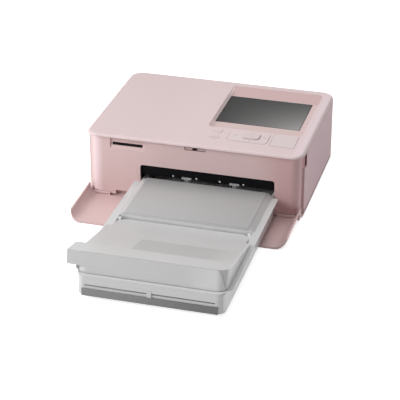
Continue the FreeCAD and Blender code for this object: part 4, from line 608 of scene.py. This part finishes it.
def key_marks():
    """Plain signs on the keys: four arrowheads, a ring for power and a stroke for going back."""
    low, high = KEY_TOP - MARK_SUNK, KEY_TOP - MARK_SUNK + MARK_HEIGHT
    shape = bmesh.new()
    for turn, x, y in ARROWHEADS:
        verts = bmesh.ops.create_cone(shape, cap_ends=True, segments=3, radius1=ARROW_RADIUS * MM,
                                      radius2=ARROW_TOP_RADIUS * MM, depth=MARK_HEIGHT * MM)["verts"]
        bmesh.ops.rotate(shape, matrix=Matrix.Rotation(math.radians(turn + 90.0), 3, "Z"), verts=verts)
        bmesh.ops.translate(shape, vec=at(x, y, (low + high) / 2), verts=verts)
    finished(shape, "arrow_marks", key_mark, "arrow_key")
    shape = bmesh.new()
    ring(shape, POWER_RADIUS, POWER_LINE, POWER_HEIGHT)
    bmesh.ops.translate(shape, vec=at(*POWER_MIDDLE, KEY_TOP), verts=shape.verts)
    finished(shape, "power_mark", key_mark, "power_key")
    stroke = [(x, y, z) for x, y, z in zip(STROKE_X, STROKE_Y, (low, high))]
    bars("back_mark", key_mark, "key_pink", 0.02, stroke, body="back_key")


def card_slot_lips():
    """The card slot's pink upper lip and black lower lip, in its finger relief."""
    bars("card_slot_upper_lip", panel_finish, "panel_pink", 0.06, ((-68.4, 3.7, 50.3), (-42.4, 4.0, 51.9)))
    bars("card_slot_lower_lip", black, "black_plastic", 0.06, ((-68.1, 3.42, 47.8), (-42.7, 4.0, 49.3)))


SCREW_PLACES = [(x, y) for x in (-62.0, 62.0) for y in (28.0, 108.0)]
SCREW_RADIUS, SCREW_TOP, SCREW_HEIGHT, SCREW_ROUNDING = 2.6, 0.88, 0.5, 0.3
CROSS_LENGTH, CROSS_WIDTH, CROSS_Z = 1.5, 0.28, (0.34, 0.5)


def screws():
    """Cross-head screws under the base, one beside each foot, and their slots as black bars standing in for
    shade.
    """
    shape = bmesh.new()
    for x, y in SCREW_PLACES:
        head = bmesh.ops.create_circle(shape, cap_ends=True, segments=24, radius=SCREW_RADIUS * MM)["verts"]
        bmesh.ops.translate(shape, vec=at(x, y, SCREW_TOP), verts=head)
    raise_faces(shape, shape.faces[:], -SCREW_HEIGHT)
    halfway = (SCREW_TOP - SCREW_HEIGHT / 2) * MM
    rims = [edge for edge in shape.edges if all(vert.co.z < halfway for vert in edge.verts)]
    bmesh.ops.bevel(shape, geom=rims, offset=SCREW_ROUNDING * MM, offset_type="OFFSET", affect="EDGES",
                    segments=3, profile=0.5, material=-1)
    finished(shape, "base_screws", steel)
    low, high = CROSS_Z
    arms = ((CROSS_LENGTH, CROSS_WIDTH), (CROSS_WIDTH, CROSS_LENGTH))
    # Black bars standing in for the shade in the screws' cross slots
    bars("base_screw_slots", black, "black_plastic", 0.04,
         *(((x - half_x, y - half_y, low), (x + half_x, y + half_y, high))
           for x, y in SCREW_PLACES for half_x, half_y in arms))


def slit_shade_lining():
    """Dark red lining behind the slit in front of the side door, standing in for the shade inside it."""
    bars("slit_shade_lining", slit_shade_red, "body_pink", 0.1, ((87.2, 12.1, 43.8), (88.0, 16.9, 54.9)))


def seams():
    """Pink strips behind the seam beside the door and its slit, and under the front face's left end; those in
    the door's seam and under the front face are a darker pink as painted shade in the gaps.
    """
    bars("door_seam", seam_shade_pink, "body_pink", 0.05, ((87.0, 11.65, 4.0), (90.4, 11.95, 43.4)))
    bars("slit_edge", panel_finish, "panel_pink", 0.05, ((87.0, 11.65, 43.5), (90.4, 11.95, 55.0)))
    bars("flap_seam", seam_shade_pink, "panel_pink", 0.1, ((-72.4, 5.6, 2.2), (-49.5, 6.4, 7.0)))


def groove_shade_line():
    """Dark line in the groove across the cassette's front, on both sides of the nub, standing in for the
    shade in it.
    """
    bars("groove_shade_line", dark_bar, "cassette_dark", 0.05, ((-37.0, -156.75, 11.35), (10.3, -156.5, 12.25)),
         ((14.3, -156.75, 11.35), (61.6, -156.5, 12.25)), body="paper_cassette")


# Floor, light and camera
FLOOR_HALF = 3.0
FLOOR_GREY, FLOOR_GLOW = 0.8, 0.72
WHITE = (1.0, 1.0, 1.0, 1.0)


def make_floor():
    """A pale floor that the camera sees as white, with the printer's own shadow left on it."""
    shape = bmesh.new()
    bmesh.ops.create_grid(shape, x_segments=1, y_segments=1, size=FLOOR_HALF)
    mesh = bpy.data.meshes.new("floor")
    shape.to_mesh(mesh)
    shape.free()
    floor = bpy.data.objects.new("floor", mesh)
    bpy.context.scene.collection.objects.link(floor)
    finish = Finish("pale_floor", grey(FLOOR_GREY), 0.9)
    plain = Value(finish, finish.shader.outputs[0])
    glow = finish.node("ShaderNodeEmission", {}, {"Color": WHITE, "Strength": FLOOR_GLOW})
    glowing = finish.node("ShaderNodeAddShader", {}, {0: plain, 1: glow})
    chosen = finish.node("ShaderNodeMixShader", {}, {0: finish.seen(), 1: plain, 2: glowing})
    finish.set(finish.tree.nodes["Material Output"].inputs["Surface"], chosen)
    mesh.materials.append(finish.material)


SKY_LEVEL, SKY_LEAN = 0.26, 0.1


def make_world():
    """White surroundings: soft light on the object, stronger from the left, and white behind it."""
    world = bpy.data.worlds.new("studio")
    bpy.context.scene.world = world
    world.use_nodes = True
    graph = Graph(world.node_tree)
    x, _, _ = graph.axes(graph.node("ShaderNodeTexCoord", {}, {}, output="Generated"))
    light = SKY_LEVEL - x * SKY_LEAN
    background = graph.tree.nodes["Background"]
    graph.set(background.inputs["Strength"], light + graph.seen() * (1.0 - light))
    background.inputs["Color"].default_value = WHITE


LAMPS = (("key_box", (-0.62, -0.42, 0.50), 0.5, 5.4), ("fill_box", (0.12, 0.2, 1.3), 0.8, 6.8))


def make_lamps():
    """Square soft boxes that face the frame's origin, each with its place, size and power."""
    for name, place, size, power in LAMPS:
        lamp = bpy.data.lights.new(name, "AREA")
        lamp.shape = "SQUARE"
        lamp.size = size
        lamp.energy = power
        holder = bpy.data.objects.new(name, lamp)
        bpy.context.scene.collection.objects.link(holder)
        holder.location = place
        holder.rotation_euler = Vector(place).to_track_quat("Z", "Y").to_euler()


CAMERA_TURN, CAMERA_RISE = math.radians(15.58), math.radians(27.78)
CAMERA_DISTANCE = 1.3194
CAMERA_AIM = Vector((-0.0098, 0.0725, -0.0241))
SENSOR_MM, LENS_MM = 36.0, 137.8


def make_camera():
    """The photograph's viewpoint, from its turn, height, distance and the point at its middle."""
    level = math.cos(CAMERA_RISE)
    back = Vector((math.sin(CAMERA_TURN) * level, -math.cos(CAMERA_TURN) * level, math.sin(CAMERA_RISE)))
    lens = bpy.data.cameras.new("camera")
    lens.sensor_width = SENSOR_MM
    lens.lens = LENS_MM
    camera = bpy.data.objects.new("camera", lens)
    bpy.context.scene.collection.objects.link(camera)
    camera.location = CAMERA_AIM + CAMERA_DISTANCE * back
    camera.rotation_euler = back.to_track_quat("Z", "Y").to_euler()
    bpy.context.scene.camera = camera


latch_shade_rim()
key_marks()
card_slot_lips()
screws()
slit_shade_lining()
seams()
groove_shade_line()
make_floor()
make_world()
make_lamps()
make_camera()
bpy.context.scene.view_settings.view_transform = "Standard"
